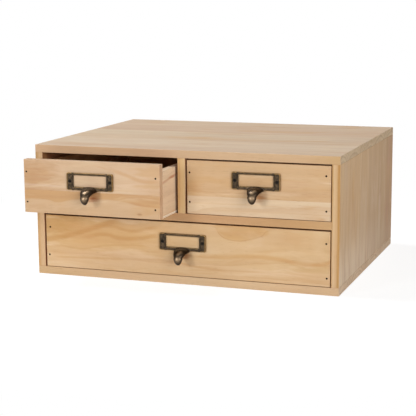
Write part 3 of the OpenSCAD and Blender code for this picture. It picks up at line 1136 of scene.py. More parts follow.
    def slotted(self, g: Graph, given: dict[str, Socket], shape: Socket) -> Socket:
        """Cuts the driver's slot across the head.

        Args:
            g: The tree's graph.
            given: The tree's inputs by name.
            shape: The turned shape.

        Returns:
            The slotted shape.
        """
        long = g.math("MULTIPLY", given["Head radius"], self.BAR_LONG)
        deep = g.math("MULTIPLY", given["Slot depth"], self.BAR_DEEP)
        bar = g.node("GeometryNodeMeshCube", {"Size": g.join(long, given["Slot width"], deep)})
        feeds = {"Mesh 1": shape, "Mesh 2": bar.outputs[0]}
        return g.node("GeometryNodeMeshBoolean", feeds, operation="DIFFERENCE", solver="EXACT").outputs[0]

    def drive(
        self, name: str, node: str, drives: Sequence[Drive], steel: SteelFinish
    ) -> bpy.types.Object:
        """Drives one fastener at each head of a set in the frame, all in one plain mesh.

        Args:
            name: The piece's name.
            node: The set's name in the frame.
            drives: The ways in which its members are driven.
            steel: Their finish.

        Returns:
            The new object.
        """
        places = []
        aims = []
        for way in drives:
            found = heads(node, way)
            places += [tuple(place) for place in found]
            aims += [way.value] * len(found)
        mesh = bpy.data.meshes.new(f"{name} places")
        mesh.from_pydata(places, [], [])
        aim = mesh.attributes.new("aim", "FLOAT_VECTOR", "POINT")
        aim.data.foreach_set("vector", np.array(aims, np.float32).ravel())
        holder = stand(f"{name} places", mesh)
        modifier = holder.modifiers.new("drive", "NODES")
        tree = self.tree()
        modifier.node_group = tree
        ids = {s.name: s.identifier for s in tree.interface.items_tree if s.in_out == "INPUT"}
        for label, value in self.sizes().items():
            modifier[ids[label]] = value
        modifier[ids["Finish"]] = steel.material()
        graph = bpy.context.evaluated_depsgraph_get()
        plain = bpy.data.meshes.new_from_object(holder.evaluated_get(graph))
        holder.modifiers.remove(modifier)
        bpy.data.objects.remove(holder)
        plain.name = name
        plain.materials.clear()
        plain.materials.append(steel.material())
        plain.polygons.foreach_set("material_index", [0] * len(plain.polygons))
        return stand(name, plain)


NAIL = Fastener("nail", head=2.2, head_height=0.6, shank=1.4, length=24, point=2.8)
PIN = Fastener("panel pin", head=2.0, head_height=0.5, shank=1.1, length=11, point=2.0, sides=16)
SCREW = Fastener(
    "slotted screw",
    head=2.8,
    head_height=0.9,
    shank=1.4,
    length=8.9,
    point=2.0,
    face=0.96,
    rim=0.12,
    foot=0.0,
    slot_width=0.5,
    slot_depth=0.35,
    sides=28,
)
NAIL_STEEL = SteelFinish(
    "browned steel", (13, 6, 2), (28, 13, 6), "nail_steel", roughness=0.7, metallic=0.0, shine=0.0
)
# Near black: partly blackened steel and partly painted shade of the screw's recess
SCREW_STEEL = SteelFinish(
    "blacked steel with painted shade", (4, 3, 2), (12, 8, 5), "nail_steel", roughness=0.6, metallic=0.0, shine=0.0
)
PIN_STEEL = SteelFinish(
    "bright steel", (150, 148, 144), (112, 104, 94), "panel_pin_steel", roughness=0.34
)


def rounded_distance(
    x: np.ndarray, z: np.ndarray, width: float, height: float, corner: float
) -> np.ndarray:
    """Measures how far points are outside a rounded rectangle centred on nothing.

    Args:
        x: The points' first coordinate.
        z: Their second coordinate.
        width: The rectangle's width.
        height: Its height.
        corner: Its corner radius.

    Returns:
        The distances, negative inside.
    """
    over_x = np.abs(x) - width / 2 + corner
    over_z = np.abs(z) - height / 2 + corner
    outside = np.hypot(np.maximum(over_x, 0), np.maximum(over_z, 0))
    return np.minimum(np.maximum(over_x, over_z), 0) + outside - corner


def soft_join(a: np.ndarray, b: np.ndarray, fillet: float) -> np.ndarray:
    """Joins two distance fields with a fillet between them."""
    near = np.maximum(fillet - np.abs(a - b), 0)
    return np.minimum(a, b) - near * near / (4 * fillet)


def skin(values: np.ndarray, origin: np.ndarray, step: float) -> tuple[np.ndarray, np.ndarray]:
    """Wraps a closed skin of quads round the space where a sampled field is negative.

    Args:
        values: The field on a regular grid, positive all round its border.
        origin: The grid's first corner.
        step: The grid's spacing.

    Returns:
        The corners and the quads.
    """
    shape = tuple(n - 1 for n in values.shape)
    total = np.zeros(shape + (3,))
    count = np.zeros(shape)
    crossings = []
    for axis in range(3):
        first = [slice(None)] * 3
        second = [slice(None)] * 3
        first[axis] = slice(0, -1)
        second[axis] = slice(1, None)
        a = values[tuple(first)]
        b = values[tuple(second)]
        at = np.argwhere((a < 0) != (b < 0))
        here = a[tuple(at.T)]
        there = b[tuple(at.T)]
        point = at.astype(float)
        point[:, axis] += here / (here - there)
        u = (axis + 1) % 3
        v = (axis + 2) % 3
        cells = []
        for du, dv in ((-1, -1), (0, -1), (0, 0), (-1, 0)):
            cell = at.copy()
            cell[:, u] += du
            cell[:, v] += dv
            np.add.at(total, tuple(cell.T), point)
            np.add.at(count, tuple(cell.T), 1)
            cells.append(cell)
        crossings.append((cells, here < 0))
    used = count > 0
    number = np.full(shape, -1)
    number[used] = np.arange(used.sum())
    corners = total[used] / count[used][:, None] * step + origin
    quads = []
    for cells, leaving in crossings:
        ring = np.stack([number[tuple(cell.T)] for cell in cells], 1)
        ring[~leaving] = ring[~leaving][:, ::-1]
        quads.append(ring)
    return corners, np.concatenate(quads)


@dataclass
class LabelPull:
    """A cast label holder whose lower edge runs out into a finger tongue, in millimetres.

    The tongue's middle line is a Bezier curve through places out from the wood and up from
    the plate's centre. Its root and its tip are its width and thickness at the two ends. The
    places that fingers rub, lightened also into painted highlights, are to the right, out and
    up, from one end of the rub to the other.
    """

    width: float = 55.4
    height: float = 19.5
    thick: float = 2.4
    corner: float = 1.8
    window_width: float = 40.0
    window_height: float = 12.8
    window_lift: float = 0.6
    rim: float = 1.3
    sunk: float = 0.7
    edge_round: float = 0.4
    screw_x: float = 23.85
    screw_recess: float = 1.4
    screw_face: float = 1.4
    screw_flare: float = 0.35
    pocket_corner: float = 0.8
    pocket_fillet: float = 0.3
    screw_fillet: float = 0.12
    line: tuple[Point, ...] = ((0, -9.25), (9.5, -9.9), (19, -10.55), (15, -23.25))
    root: Point = (19.2, 6.4)
    tip: Point = (9.6, 7.8)
    taper: float = 0.83
    nose: float = 0.77
    waist: float = 0.06
    waist_at: float = 0.68
    waist_run: float = 0.06
    blunt: float = 0.02
    fillet: float = 1.1
    samples: int = 130
    grid: float = 0.26
    grid_room: float = 1.0
    grid_down: float = 26.5
    grid_out: float = 21.5
    relief: float = 0.05
    broad_lump: float = 0.55
    fine_lump: float = 1.4
    # The crest's and the nose's rubs, polished lighter, which also paints the tongue's highlights
    crest_rub: tuple[Place, Place] = ((0.3, 16.8, -10.4), (2.4, 13.2, -8.6))
    crest_spread: float = 1.7
    nose_rub: tuple[Place, Place] = ((0.6, 19.5, -16.4), (0.9, 19.5, -15.8))
    nose_spread: float = 2.9

    TRACES = ("wear", "hollow", "tongue", "polish")

    def plate(self, x: np.ndarray, out: np.ndarray, up: np.ndarray) -> np.ndarray:
        """Measures distance to the plate with its window and its two sunk flanges.

        Args:
            x: Rightward places.
            out: Forward places, from the wood.
            up: Upward places, from the plate's centre.

        Returns:
            The distance field.
        """
        bend = self.edge_round
        flat = rounded_distance(x, up, self.width, self.height, self.corner)
        above = up - self.window_lift
        window = rounded_distance(x, above, self.window_width, self.window_height, self.corner / 3)
        flat = np.maximum(flat, -window)
        over_flat = flat + bend
        over_top = out - self.thick + bend
        rounded = np.hypot(np.maximum(over_flat, 0), np.maximum(over_top, 0)) - bend
        body = np.minimum(np.maximum(over_flat, over_top), 0) + rounded
        middle = (self.width + self.window_width) / 4
        pocket_width = (self.width - self.window_width) / 2 - 2 * self.rim
        pocket_height = self.height - 2 * self.rim
        beside = np.abs(x) - middle
        pocket = rounded_distance(beside, up, pocket_width, pocket_height, self.pocket_corner)
        floor = self.thick - self.sunk - out
        pocket = -soft_join(-pocket, -floor, self.pocket_fillet)
        body = -soft_join(-body, pocket, self.pocket_fillet)
        flare = np.maximum(out - self.thick + self.sunk + self.screw_flare, 0)
        hole = np.hypot(np.abs(x) - self.screw_x, up) - self.screw_recess - flare
        hole = np.maximum(hole, self.screw_face - out)
        return -soft_join(-body, hole, self.screw_fillet)

    def tongue(self, x: np.ndarray, out: np.ndarray, up: np.ndarray) -> np.ndarray:
        """Measures distance to the finger tongue that follows its middle line.

        Args:
            x: Rightward places.
            out: Forward places, from the wood.
            up: Upward places, from the plate's centre.

        Returns:
            The distance field.
        """
        points = np.array(self.line)
        best = np.full(x.shape, 1e9)
        half_wide = np.ones(x.shape)
        half_thick = np.ones(x.shape)
        lift = np.zeros(x.shape)
        for t in np.linspace(0, 1, self.samples):
            s = 1 - t
            weights = np.array([s**3, 3 * s * s * t, 3 * s * t * t, t**3])
            centre = weights @ points
            slope = np.array([s * s, 2 * s * t, t * t]) @ np.diff(points, axis=0)
            run = np.array([1.0, 0.0]) if t == 0 else slope / np.hypot(*slope)
            eased = t**self.taper
            blend = eased * eased * (3 - 2 * eased)
            past = max(0.0, (t - self.nose) / (1 - self.nose))
            end = max(self.blunt, math.sqrt(max(0.0, 1 - past * past)))
            end -= self.waist * math.exp(-(((t - self.waist_at) / self.waist_run) ** 2))
            wide = end * (self.root[0] + (self.tip[0] - self.root[0]) * blend) / 2
            thick = end * (self.root[1] + (self.tip[1] - self.root[1]) * blend) / 2
            away = np.hypot(out - centre[0], up - centre[1])
            closer = away < best
            best[closer] = away[closer]
            half_wide[closer] = wide
            half_thick[closer] = thick
            offset = (up - centre[1]) * run[0] - (out - centre[0]) * run[1]
            lift[closer] = offset[closer]
        along = np.sqrt(np.maximum(best * best - lift * lift, 0))
        ratio = np.sqrt((x / half_wide) ** 2 + (lift / half_thick) ** 2)
        side = (ratio - 1) * np.minimum(half_wide, half_thick)
        return np.hypot(np.maximum(side, 0), along) + np.minimum(side, 0)

    def casting(self) -> tuple[np.ndarray, np.ndarray]:
        """Samples the joined shape on a grid and skins it.

        Returns:
            The corners in millimetres and the quads.
        """
        room = self.grid_room
        clear = 3.0
        far = 50.0
        back = 0.01
        low = np.array([-self.width / 2 - room, -room, -self.grid_down])
        high = np.array([self.width / 2 + room, self.grid_out, self.height / 2 + room])
        axes = [np.arange(a, b, self.grid) for a, b in zip(low, high)]
        x, out, up = np.meshgrid(*axes, indexing="ij")
        body = self.plate(x, out, up)
        near = np.abs(axes[0]) < self.root[0] / 2 + clear
        tongue = np.full(x.shape, far)
        tongue[near] = self.tongue(x[near], out[near], up[near])
        body = np.maximum(soft_join(body, tongue, self.fillet), back - out)
        return skin(body, low, self.grid)

    def mesh(self) -> bpy.types.Mesh:
        """Builds the casting once, with its cast relief and its wear.

        Returns:
            The mesh in metres, centred on the plate, its back on the wood and facing forward.
        """
        corners, quads = self.casting()
        corners = self.smoothed(corners, quads, 2)
        made = bpy.data.meshes.new("label pull casting")
        forward = corners * np.array([1, -1, 1]) * MM
        made.from_pydata(forward.tolist(), [], quads[:, ::-1].tolist())
        made.update()
        normals = np.zeros(len(corners) * 3, np.float32)
        made.vertices.foreach_get("normal", normals)
        normals = normals.reshape(-1, 3)
        forward = forward + normals * (self.lumps(corners) * MM)[:, None]
        made.vertices.foreach_set("co", forward.astype(np.float32).ravel())
        bulge = self.bulge(forward / MM, normals, quads)
        for name, values in zip(self.TRACES, (*self.worn(corners, bulge), *self.handled(corners))):
            attribute = made.attributes.new(name, "FLOAT", "POINT")
            attribute.data.foreach_set("value", np.clip(values, 0, 1).astype(np.float32))
        made.polygons.foreach_set("use_smooth", [True] * len(made.polygons))
        made.materials.append(BronzeFinish().material(self.TRACES))
        made.update()
        return made

    def lumps(self, corners: np.ndarray) -> np.ndarray:
        """Gives the casting its slight unevenness, except where it lies on the wood.

        Args:
            corners: The skin's corners in millimetres.

        Returns:
            How far each corner is raised.
        """
        held = 0.6
        spots = [Vector(corner) for corner in corners]
        broad = np.array([noise.noise(spot * self.broad_lump) for spot in spots])
        fine = np.array([noise.noise(spot * self.fine_lump) for spot in spots])
        return (broad + 0.5 * fine) * np.clip(corners[:, 1] / held, 0, 1) * self.relief

    def worn(self, corners: np.ndarray, bulge: np.ndarray) -> tuple[np.ndarray, np.ndarray]:
        """Finds where the plate's edges are rubbed, where dirt stays and where shade is painted.

        Args:
            corners: The skin's corners in millimetres.
            bulge: How far the surface bulges there.

        Returns:
            The wear, less of it on the frame's uprights, and the darkening: dirt in hollows and
            round the screws, and painted shade on the window's inner walls.
        """
        dirt_reach = 1.1
        wall_reach = 0.25
        upright_wear = 0.25
        right, out, up = corners.T
        pits = np.hypot(np.abs(right) - self.screw_x, up) - self.screw_recess
        pits = np.clip(1 - pits / dirt_reach, 0, 1) * (out < self.thick - self.sunk + 0.1)
        frame_x = np.abs(right) - self.window_width / 2
        frame_z = np.abs(up - self.window_lift) - self.window_height / 2
        # Painted shade: the window's inner walls are darkened to near black
        wall = (np.maximum(frame_x, frame_z) < wall_reach) & (out < self.thick - 0.4)
        hollow = np.maximum(np.maximum(-bulge, pits), wall)
        wear = np.where(np.abs(frame_x) < self.rim * 0.9, bulge * upright_wear, bulge)
        return wear, hollow

    def neighbours(self, values: np.ndarray, quads: np.ndarray) -> np.ndarray:
        """Averages each corner's value with those beside it in its quads."""
        total = np.zeros_like(values)
        count = np.zeros(len(values))
        for shift in (1, 3):
            beside = np.roll(quads, shift, axis=1)
            np.add.at(total, quads.ravel(), values[beside.ravel()])
            np.add.at(count, quads.ravel(), 1)
        return total / (count[:, None] if values.ndim > 1 else count)

    def smoothed(self, corners: np.ndarray, quads: np.ndarray, rounds: int) -> np.ndarray:
        """Relaxes the skin's corners towards their neighbours.

        Args:
            corners: The skin's corners.
            quads: Its faces.
            rounds: How often.

        Returns:
            The relaxed corners, the back still flat on the wood.
        """
        on_wood = 0.05
        pace = 0.5
        flat = corners[:, 1] < on_wood
        for _ in range(rounds):
            moved = corners + pace * (self.neighbours(corners, quads) - corners)
            moved[flat, 1] = corners[flat, 1]
            corners = moved
        return corners

    def bulge(self, corners: np.ndarray, normals: np.ndarray, quads: np.ndarray) -> np.ndarray:
        """Measures how far the surface bulges, for rubbed edges, or sinks, for grime.

        Args:
            corners: The skin's corners in millimetres.
            normals: The directions they face.
            quads: The faces.

        Returns:
            About 1 on a sharp edge, 0 on a flat and -1 in a sharp hollow.
        """
        sharp = 0.16
        wide = corners
        for _ in range(6):
            wide = self.neighbours(wide, quads)
        values = np.einsum("ij,ij->i", corners - wide, normals) / sharp
        for _ in range(2):
            values = self.neighbours(values, quads)
        return values

    def handled(self, corners: np.ndarray) -> tuple[np.ndarray, np.ndarray]:
        """Finds the tongue and the parts of it that fingers rub.

        Args:
            corners: The skin's corners in millimetres, out from the wood along Y.

        Returns:
            One on the tongue, and one where its crest and its nose are polished, which also paints their
            highlights.
        """
        clear = 0.4
        out_run = 1.2
        down_run = 0.6
        out = corners[:, 1]
        below = -self.height / 2 - corners[:, 2]
        on_tongue = np.clip((out - self.thick - clear) / out_run, 0, 1)
        on_tongue = np.maximum(on_tongue, np.clip(below / down_run, 0, 1))
        polish = np.zeros(len(corners))
        # Polished spots on crest and nose, partly wear and partly painted highlights
        painted_light_dabs = ((self.crest_rub, self.crest_spread), (self.nose_rub, self.nose_spread))
        for (start, end), spread in painted_light_dabs:
            along = np.array(end) - np.array(start)
            past = corners - np.array(start)
            share = np.clip(past @ along / (along @ along), 0, 1)
            away = np.linalg.norm(past - share[:, None] * along, axis=1)
            polish = np.maximum(polish, np.exp(-((away / spread) ** 2)))
        return on_tongue, on_tongue * polish


@dataclass
class Joinery:
    """A body of the frame that is built of boards, with the pieces that are fixed to it."""

    body: str

    def boards(self) -> Iterable[tuple[str, Grain, PineFinish]]:
        """Lists the pine boards' nodes with their grain and finish."""
        raise NotImplementedError

    def dress(self) -> None:
        """Gives each board its own pine."""
        for node, grain, finish in self.boards():
            dress(node, finish.material(grain, *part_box(node)))

    def swap(self, piece: bpy.types.Object, node: str, slot: str) -> None:
        """Lets a new piece ride on the body in place of one of the frame's.

        Args:
            piece: The finished piece.
            node: The piece of the frame that it stands for.
            slot: The record's material slot; not used.
        """
        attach(piece, self.body)
        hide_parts(node)
        log.info("%s: %d faces", piece.name, len(piece.data.polygons))


@dataclass
class Drawer(Joinery):
    """A nailed drawer: front, sides, back and bottom, its fasteners and its label pull.

    Dabs on the outside of its right side paint the shade where it runs in beside the divider.
    """

    front: PineFinish
    seed: float
    painted_light_dabs: tuple[Patch, ...] = ()

    FASTENERS = (
        ("corner_nails", NAIL, (Drive.BACKWARD,), NAIL_STEEL),
        ("rear_nails", NAIL, (Drive.RIGHT, Drive.LEFT), NAIL_STEEL),
        ("bottom_pins", PIN, (Drive.UP,), PIN_STEEL),
        ("pull_screws", SCREW, (Drive.BACKWARD,), SCREW_STEEL),
    )

    def dress(self) -> None:
        """Gives each board its own pine and the bottom its plywood."""
        super().dress()
        node = f"{self.body}_bottom"
        ply = PlywoodFinish(
            f"{self.body} plywood",
            face=(238, 216, 184),
            core=(238, 212, 182),
            rim=(255, 246, 230),
            seed=self.seed,
        )
        dress(node, ply.material(Axis.Z, *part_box(node)))

    def boards(self) -> Iterable[tuple[str, Grain, PineFinish]]:
        """Lists the drawer's pine boards with their grain and finish."""
        sawn = (196, 160, 128)
        knot_path = ((0, 15), (10, 13.8), (22, 12.4), (36, 11), (60, 9.5))
        knot_line = Streak(knot_path, 2.4, (206, 146, 110), 0.6)
        knot = Patch((27, 12), (14, 2.6), (188, 116, 76), 0.6, 0.9)
        band = Streak(((0, 52), (140, 51), (284, 52.5)), 2.2, (212, 164, 114), 0.5)
        left = PineFinish(
            f"{self.body} left side pine",
            # Darker brown: painted shade of the drawer's inside, which lies in the bay
            (Stave(0, (170, 124, 84), pith=18, depth=30, seed=1),),
            seed=self.seed + 1,
            end_tint=sawn,
        )
        right = PineFinish(
            f"{self.body} right side pine",
            # Paler than the other boards: partly the wood's own tone and partly painted light, in place
            # of light bounced onto the open drawer's side
            (Stave(0, (240, 212, 180), pith=18, depth=30, seed=1),),
            marks=(knot_line, knot, band, *self.painted_light_dabs),
            contrast=0.22,
            seed=self.seed + 2,
            end_tint=sawn,
        )
        back = PineFinish(
            f"{self.body} back pine",
            # Darker brown: painted shade of the drawer's inside, which lies in the bay
            (Stave(0, (172, 126, 86), pith=42, depth=30, seed=2),),
            seed=self.seed + 3,
        )
        yield f"{self.body}_front", Grain.FRONT, self.front
        yield f"{self.body}_left_side", Grain.RUNNER, left
        yield f"{self.body}_right_side", Grain.RUNNER, right
        yield f"{self.body}_back", Grain.FRONT, back

    def fix(self, casting: bpy.types.Mesh) -> None:
        """Drives the drawer's fasteners and mounts a copy of the label pull at its screws.

        Args:
            casting: The finished label pull, centred on its plate.
        """
        for part, kind, drives, steel in self.FASTENERS:
            node = f"{self.body}_{part}"
            self.swap(kind.drive(f"{self.body}_driven_{part}", node, drives, steel), node, steel.slot)
        screws = heads(f"{self.body}_pull_screws", Drive.BACKWARD)
        middle = sum(screws, Vector()) / len(screws)
        middle.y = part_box(f"{self.body}_front")[0].y
        mesh = casting.copy()
        mesh.name = f"{self.body}_pull"
        mesh.transform(Matrix.Translation(middle))
        self.swap(stand(mesh.name, mesh), f"{self.body}_label_pull", "antique_bronze")


@dataclass
class Cabinet(Joinery):
    """The fixed case: boards, shelf, divider, dowels and the pinned back panel."""

    body: str = "cabinet"

    def boards(self) -> Iterable[tuple[str, Grain, PineFinish]]:
        """Lists the case's pine boards with their grain and finish."""
        yield "top_board", Grain.FLAT, TOP_PINE
        yield "bottom_board", Grain.FLAT, BOTTOM_PINE
        yield "left_side", Grain.UPRIGHT, LEFT_SIDE_PINE
        yield "right_side", Grain.UPRIGHT, RIGHT_SIDE_PINE
        yield "middle_shelf", Grain.FLAT, SHELF_PINE
        yield "centre_divider", Grain.UPRIGHT, DIVIDER_PINE

    def dress(self) -> None:
        """Gives each board, the panel and the dowels their materials."""
        super().dress()
        panel = PlywoodFinish("back panel plywood", seed=9)
        dress("back_panel", panel.material(Axis.Y, *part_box("back_panel")))
        beech = DowelFinish()
        upright = beech.material(Axis.Z)
        dress("side_dowels", upright)
        dress("divider_dowels", upright)
        dress("shelf_dowels", beech.material(Axis.X))

    def fix(self) -> None:
        """Drives the back panel's pins."""
        piece = PIN.drive("driven_back_pins", "back_panel_pins", (Drive.FORWARD,), PIN_STEEL)
        self.swap(piece, "back_panel_pins", PIN_STEEL.slot)


TOP_PINE = PineFinish(
    "top board pine",
    staves=(
        Stave(0, (208, 181, 152), pith=30, depth=55, seed=1),
        Stave(62, (206, 177, 148), pith=96, depth=48, seed=2),
        Stave(120, (210, 187, 158), pith=150, depth=60, seed=3),
        Stave(165, (209, 182, 150), pith=176, depth=40, seed=4),
        Stave(200, (215, 191, 163), pith=235, depth=60, seed=5),
        Stave(252, (210, 183, 154), pith=290, depth=40, seed=6),
    ),
    marks=(
        Patch((168, 182), (70, 17), (204, 166, 122), 0.5, 0.8),
        Field(((0, 112), (360, 113)), ((0, 119.6), (360, 119.6)), (199, 162, 122), 0.5, 6.0, 0.4),
        Patch((345, 150), (45, 40), (205, 178, 150), 0.6, 0.8),
    ),
    edge=EdgeStripe(
        Way.ALONG,
        (
            (0.0, (206, 166, 127)),
            (0.25, (211, 172, 132)),
            (0.42, (205, 167, 131)),
            (0.5, (207, 173, 135)),
            (0.85, (206, 172, 132)),
            (1.0, (199, 163, 113)),
        ),
    ),
    contrast=0.22,
    end_tint=(222, 196, 160),
    shaded_inward=(-1.0,),
    seed=2,
)
BOTTOM_PINE = PineFinish(
    "bottom board pine",
    staves=(
        Stave(0, (213, 180, 142), pith=30, depth=50, seed=7),
        Stave(88, (210, 176, 136), pith=120, depth=45, seed=8),
        Stave(170, (215, 183, 145), pith=210, depth=55, seed=9),
        Stave(235, (212, 178, 140), pith=280, depth=40, seed=10),
    ),
    edge=EdgeStripe(Way.ALONG, ((0.0, (200, 168, 125)), (0.25, (216, 184, 146)), (1.0, (210, 178, 140)))),
    contrast=0.3,
    end_tint=(250, 220, 188),
    shaded_inward=(1.0,),
    seed=5,
)
SHELF_PINE = PineFinish(
    "shelf pine",
    staves=(
        Stave(0, (211, 177, 138), pith=40, depth=45, seed=3),
        Stave(96, (213, 180, 142), pith=150, depth=50, seed=4),
        Stave(190, (209, 174, 134), pith=240, depth=50, seed=5),
    ),
    edge=EdgeStripe(
        Way.ALONG,
        (
            (0.0, (203, 168, 129)),
            (0.38, (201, 166, 127)),
            (0.48, (188, 145, 101)),
            (0.6, (193, 150, 107)),
            (0.9, (188, 145, 97)),
            (1.0, (192, 150, 102)),
        ),
    ),
    shaded_inward=(-1.0, 1.0),
    seed=8,
)
LEFT_SIDE_PINE = PineFinish(
    "left side pine",
    staves=(
        Stave(0, (212, 179, 139), pith=20, depth=-40, seed=5),
        Stave(72, (214, 182, 144), pith=110, depth=-50, seed=6),
        Stave(150, (210, 175, 135), pith=190, depth=-45, seed=7),
        Stave(226, (213, 180, 142), pith=260, depth=-60, seed=8),
    ),
    edge=EdgeStripe(
        Way.THROUGH,
        ((0.0, (186, 140, 84)), (0.3, (196, 154, 103)), (0.5, (207, 171, 129)), (1.0, (209, 175, 135))),
    ),
    contrast=0.34,
    shaded_inward=(1.0,),
    seed=11,
)
RIGHT_SIDE_PINE = PineFinish(
    # The staves darken towards the back, partly the wood's tone and partly painted shade of the light
    # falling off along the side
    "right side pine",
    staves=(
        Stave(0, (213, 177, 131), pith=24, depth=60, seed=6),
        Stave(56, (211, 172, 124), pith=62, depth=50, seed=7),
        Stave(96, (209, 172, 126), pith=120, depth=60, seed=8),
        Stave(148, (200, 163, 119), pith=176, depth=45, seed=9),
        Stave(200, (195, 157, 112), pith=212, depth=40, seed=10),
        Stave(248, (186, 144, 100), pith=262, depth=40, seed=11),
    ),
    marks=(
        # Painted light: the lower part of the side is lightened, as if by light thrown up from the floor
        Patch((134, 60), (64, 270), (242, 216, 186), 0.75, 0.9, 0.04),
        Streak(((55, 26), (90, 27.5), (134, 29)), 1.8, (176, 130, 92), 0.4),
        Streak(((0, 149), (134, 147)), 2.6, (186, 146, 108), 0.45),
        Patch((40, 64), (34, 9), (204, 154, 90), 0.6, 0.8),
        Streak(((50, 68), (80, 76), (106, 82)), 3.0, (196, 150, 104), 0.35),
        Patch((70, 214), (24, 11), (182, 130, 92), 0.5, 0.9),
        Patch((34, 264), (16, 13), (188, 134, 104), 0.45, 0.9),
        Patch((98, 258), (26, 12), (186, 132, 102), 0.5, 0.9),
    ),
    edge=EdgeStripe(
        Way.THROUGH,
        ((0.0, (182, 136, 74)), (0.25, (212, 180, 138)), (0.55, (205, 169, 125)), (0.8, (181, 133, 70))),
    ),
    contrast=0.4,
    ring_width=4.4,
    lean=0.02,
    shaded_inward=(-1.0,),
    seed=14,
)
DIVIDER_PINE = PineFinish(
    "divider pine",
    # The front edge is partly its own tone and partly lightened, painted light that offsets the open
    # drawer's shadow
    edge=EdgeStripe(
        Way.THROUGH,
        ((0.0, (206, 163, 105)), (0.25, (204, 160, 102)), (0.4, (214, 178, 126)), (1.0, (218, 186, 135))),
    ),
    shaded_inward=(-1.0, 1.0),
    seed=17,
)
# Painted shade: a dark line down the left drawer's right side, where it runs into the bay beside the
# divider
DIVIDER_SHADE = Patch((39.5, 24), (2.4, 60), (104, 50, 18), 0.85, 0.5, 0.04)
LEFT_FRONT_PINE = PineFinish(
    "left drawer front pine",
    staves=(
        Stave(0, (211, 178, 144), pith=14, depth=34, seed=1),
        Stave(33.7, (206, 171, 133), pith=60, depth=36, seed=2),
    ),
    marks=(
        Patch((4, 19), (62, 30), (190, 146, 103), 0.85, 0.9),
        Patch((128, 26), (34, 9), (220, 191, 160), 0.6, 0.8),
        Streak(((4, 11), (20, 10.4), (31, 11.6)), 1.8, (188, 138, 96), 0.4),
        Streak(((0, 16.4), (38, 17.2)), 1.6, (196, 148, 106), 0.4),
        Streak(((6, 22.6), (24, 21.6), (37, 22.4)), 2.2, (190, 142, 102), 0.45),
        Streak(((0, 28.4), (46, 28.6)), 1.8, (208, 176, 154), 0.5),
        Streak(((86, 4.0), (94, 5.2), (102, 7.0)), 1.5, (203, 160, 120), 0.55),
        Streak(
            ((107, 8.6), (122, 12), (133, 16.2), (144, 18.6), (163, 18.4)),
            3.4,
            (199, 152, 108),
            0.55,
        ),
        Field(
            ((0, 33.7), (163.3, 33.7)),
            (
                (0, 45.5),
                (30, 45.6),
                (39, 47.8),
                (58, 44.0),
                (78, 42.2),
                (100, 41.6),
                (117, 42.8),
                (128, 44.4),
                (139, 46.7),
                (163.3, 47.9),
            ),
            (199, 156, 109),
            0.9,
            0.5,
            1.6,
        ),
        Streak(((126, 37.6), (138, 38.4), (149, 38.2)), 1.2, (184, 134, 88), 0.45),
        Streak(((132, 44), (146, 45.6), (162, 46)), 2.2, (188, 138, 92), 0.5),
        Patch((8, 55), (30, 10), (198, 156, 116), 0.55, 0.9),
        # Painted shadow of the label pull's tongue: a warm dark oval just beside it
        Patch((83.5, 37), (12.5, 12), (140, 66, 8), 1.0, 1.0),
        Patch((139.5, 55.2), (4.4, 1.8), (150, 104, 72), 0.7, 0.8, 0.2),
    ),
    contrast=0.3,
    seed=20,
    end_tint=(222, 184, 150),
)
RIGHT_FRONT_PINE = PineFinish(
    "right drawer front pine",
    staves=(
        Stave(0, (205, 169, 128), pith=8, depth=40, seed=3),
        Stave(39.4, (215, 188, 155), pith=70, depth=44, seed=4),
    ),
    marks=(
        Patch((2, 29), (22, 14), (196, 152, 103), 0.8, 0.9),
        # Painted shadow of the label pull's tongue: a warm dark oval just beside it
        Patch((84, 37), (12, 11), (148, 84, 20), 0.75, 1.0),
        Streak(((112, 18.6), (134, 19.4)), 1.0, (198, 150, 120), 0.35),
        Streak(((116, 22), (138, 21.4)), 1.0, (198, 150, 120), 0.35),
        Streak(((110, 25.2), (130, 24.6)), 0.9, (198, 150, 120), 0.3),
        Streak(((0, 4), (80, 5.4), (163.3, 4.2)), 1.6, (206, 166, 120), 0.35),
        Streak(((0, 48), (90, 46.8), (163.3, 48.6)), 1.2, (206, 172, 132), 0.4),
        Streak(((30, 54.5), (110, 53.4), (163.3, 54)), 1.2, (206, 172, 132), 0.35),
    ),
    # Painted shade: the top and bottom faces, seen only in the gaps, are dark brown
    edge=EdgeStripe(Way.ALONG, ((0.0, (144, 90, 46)),), 0.9),
    contrast=0.24,
    seed=24,
    # Painted shade: the end faces, seen only in the gaps, are dark brown
    end_tint=(190, 138, 92),
)
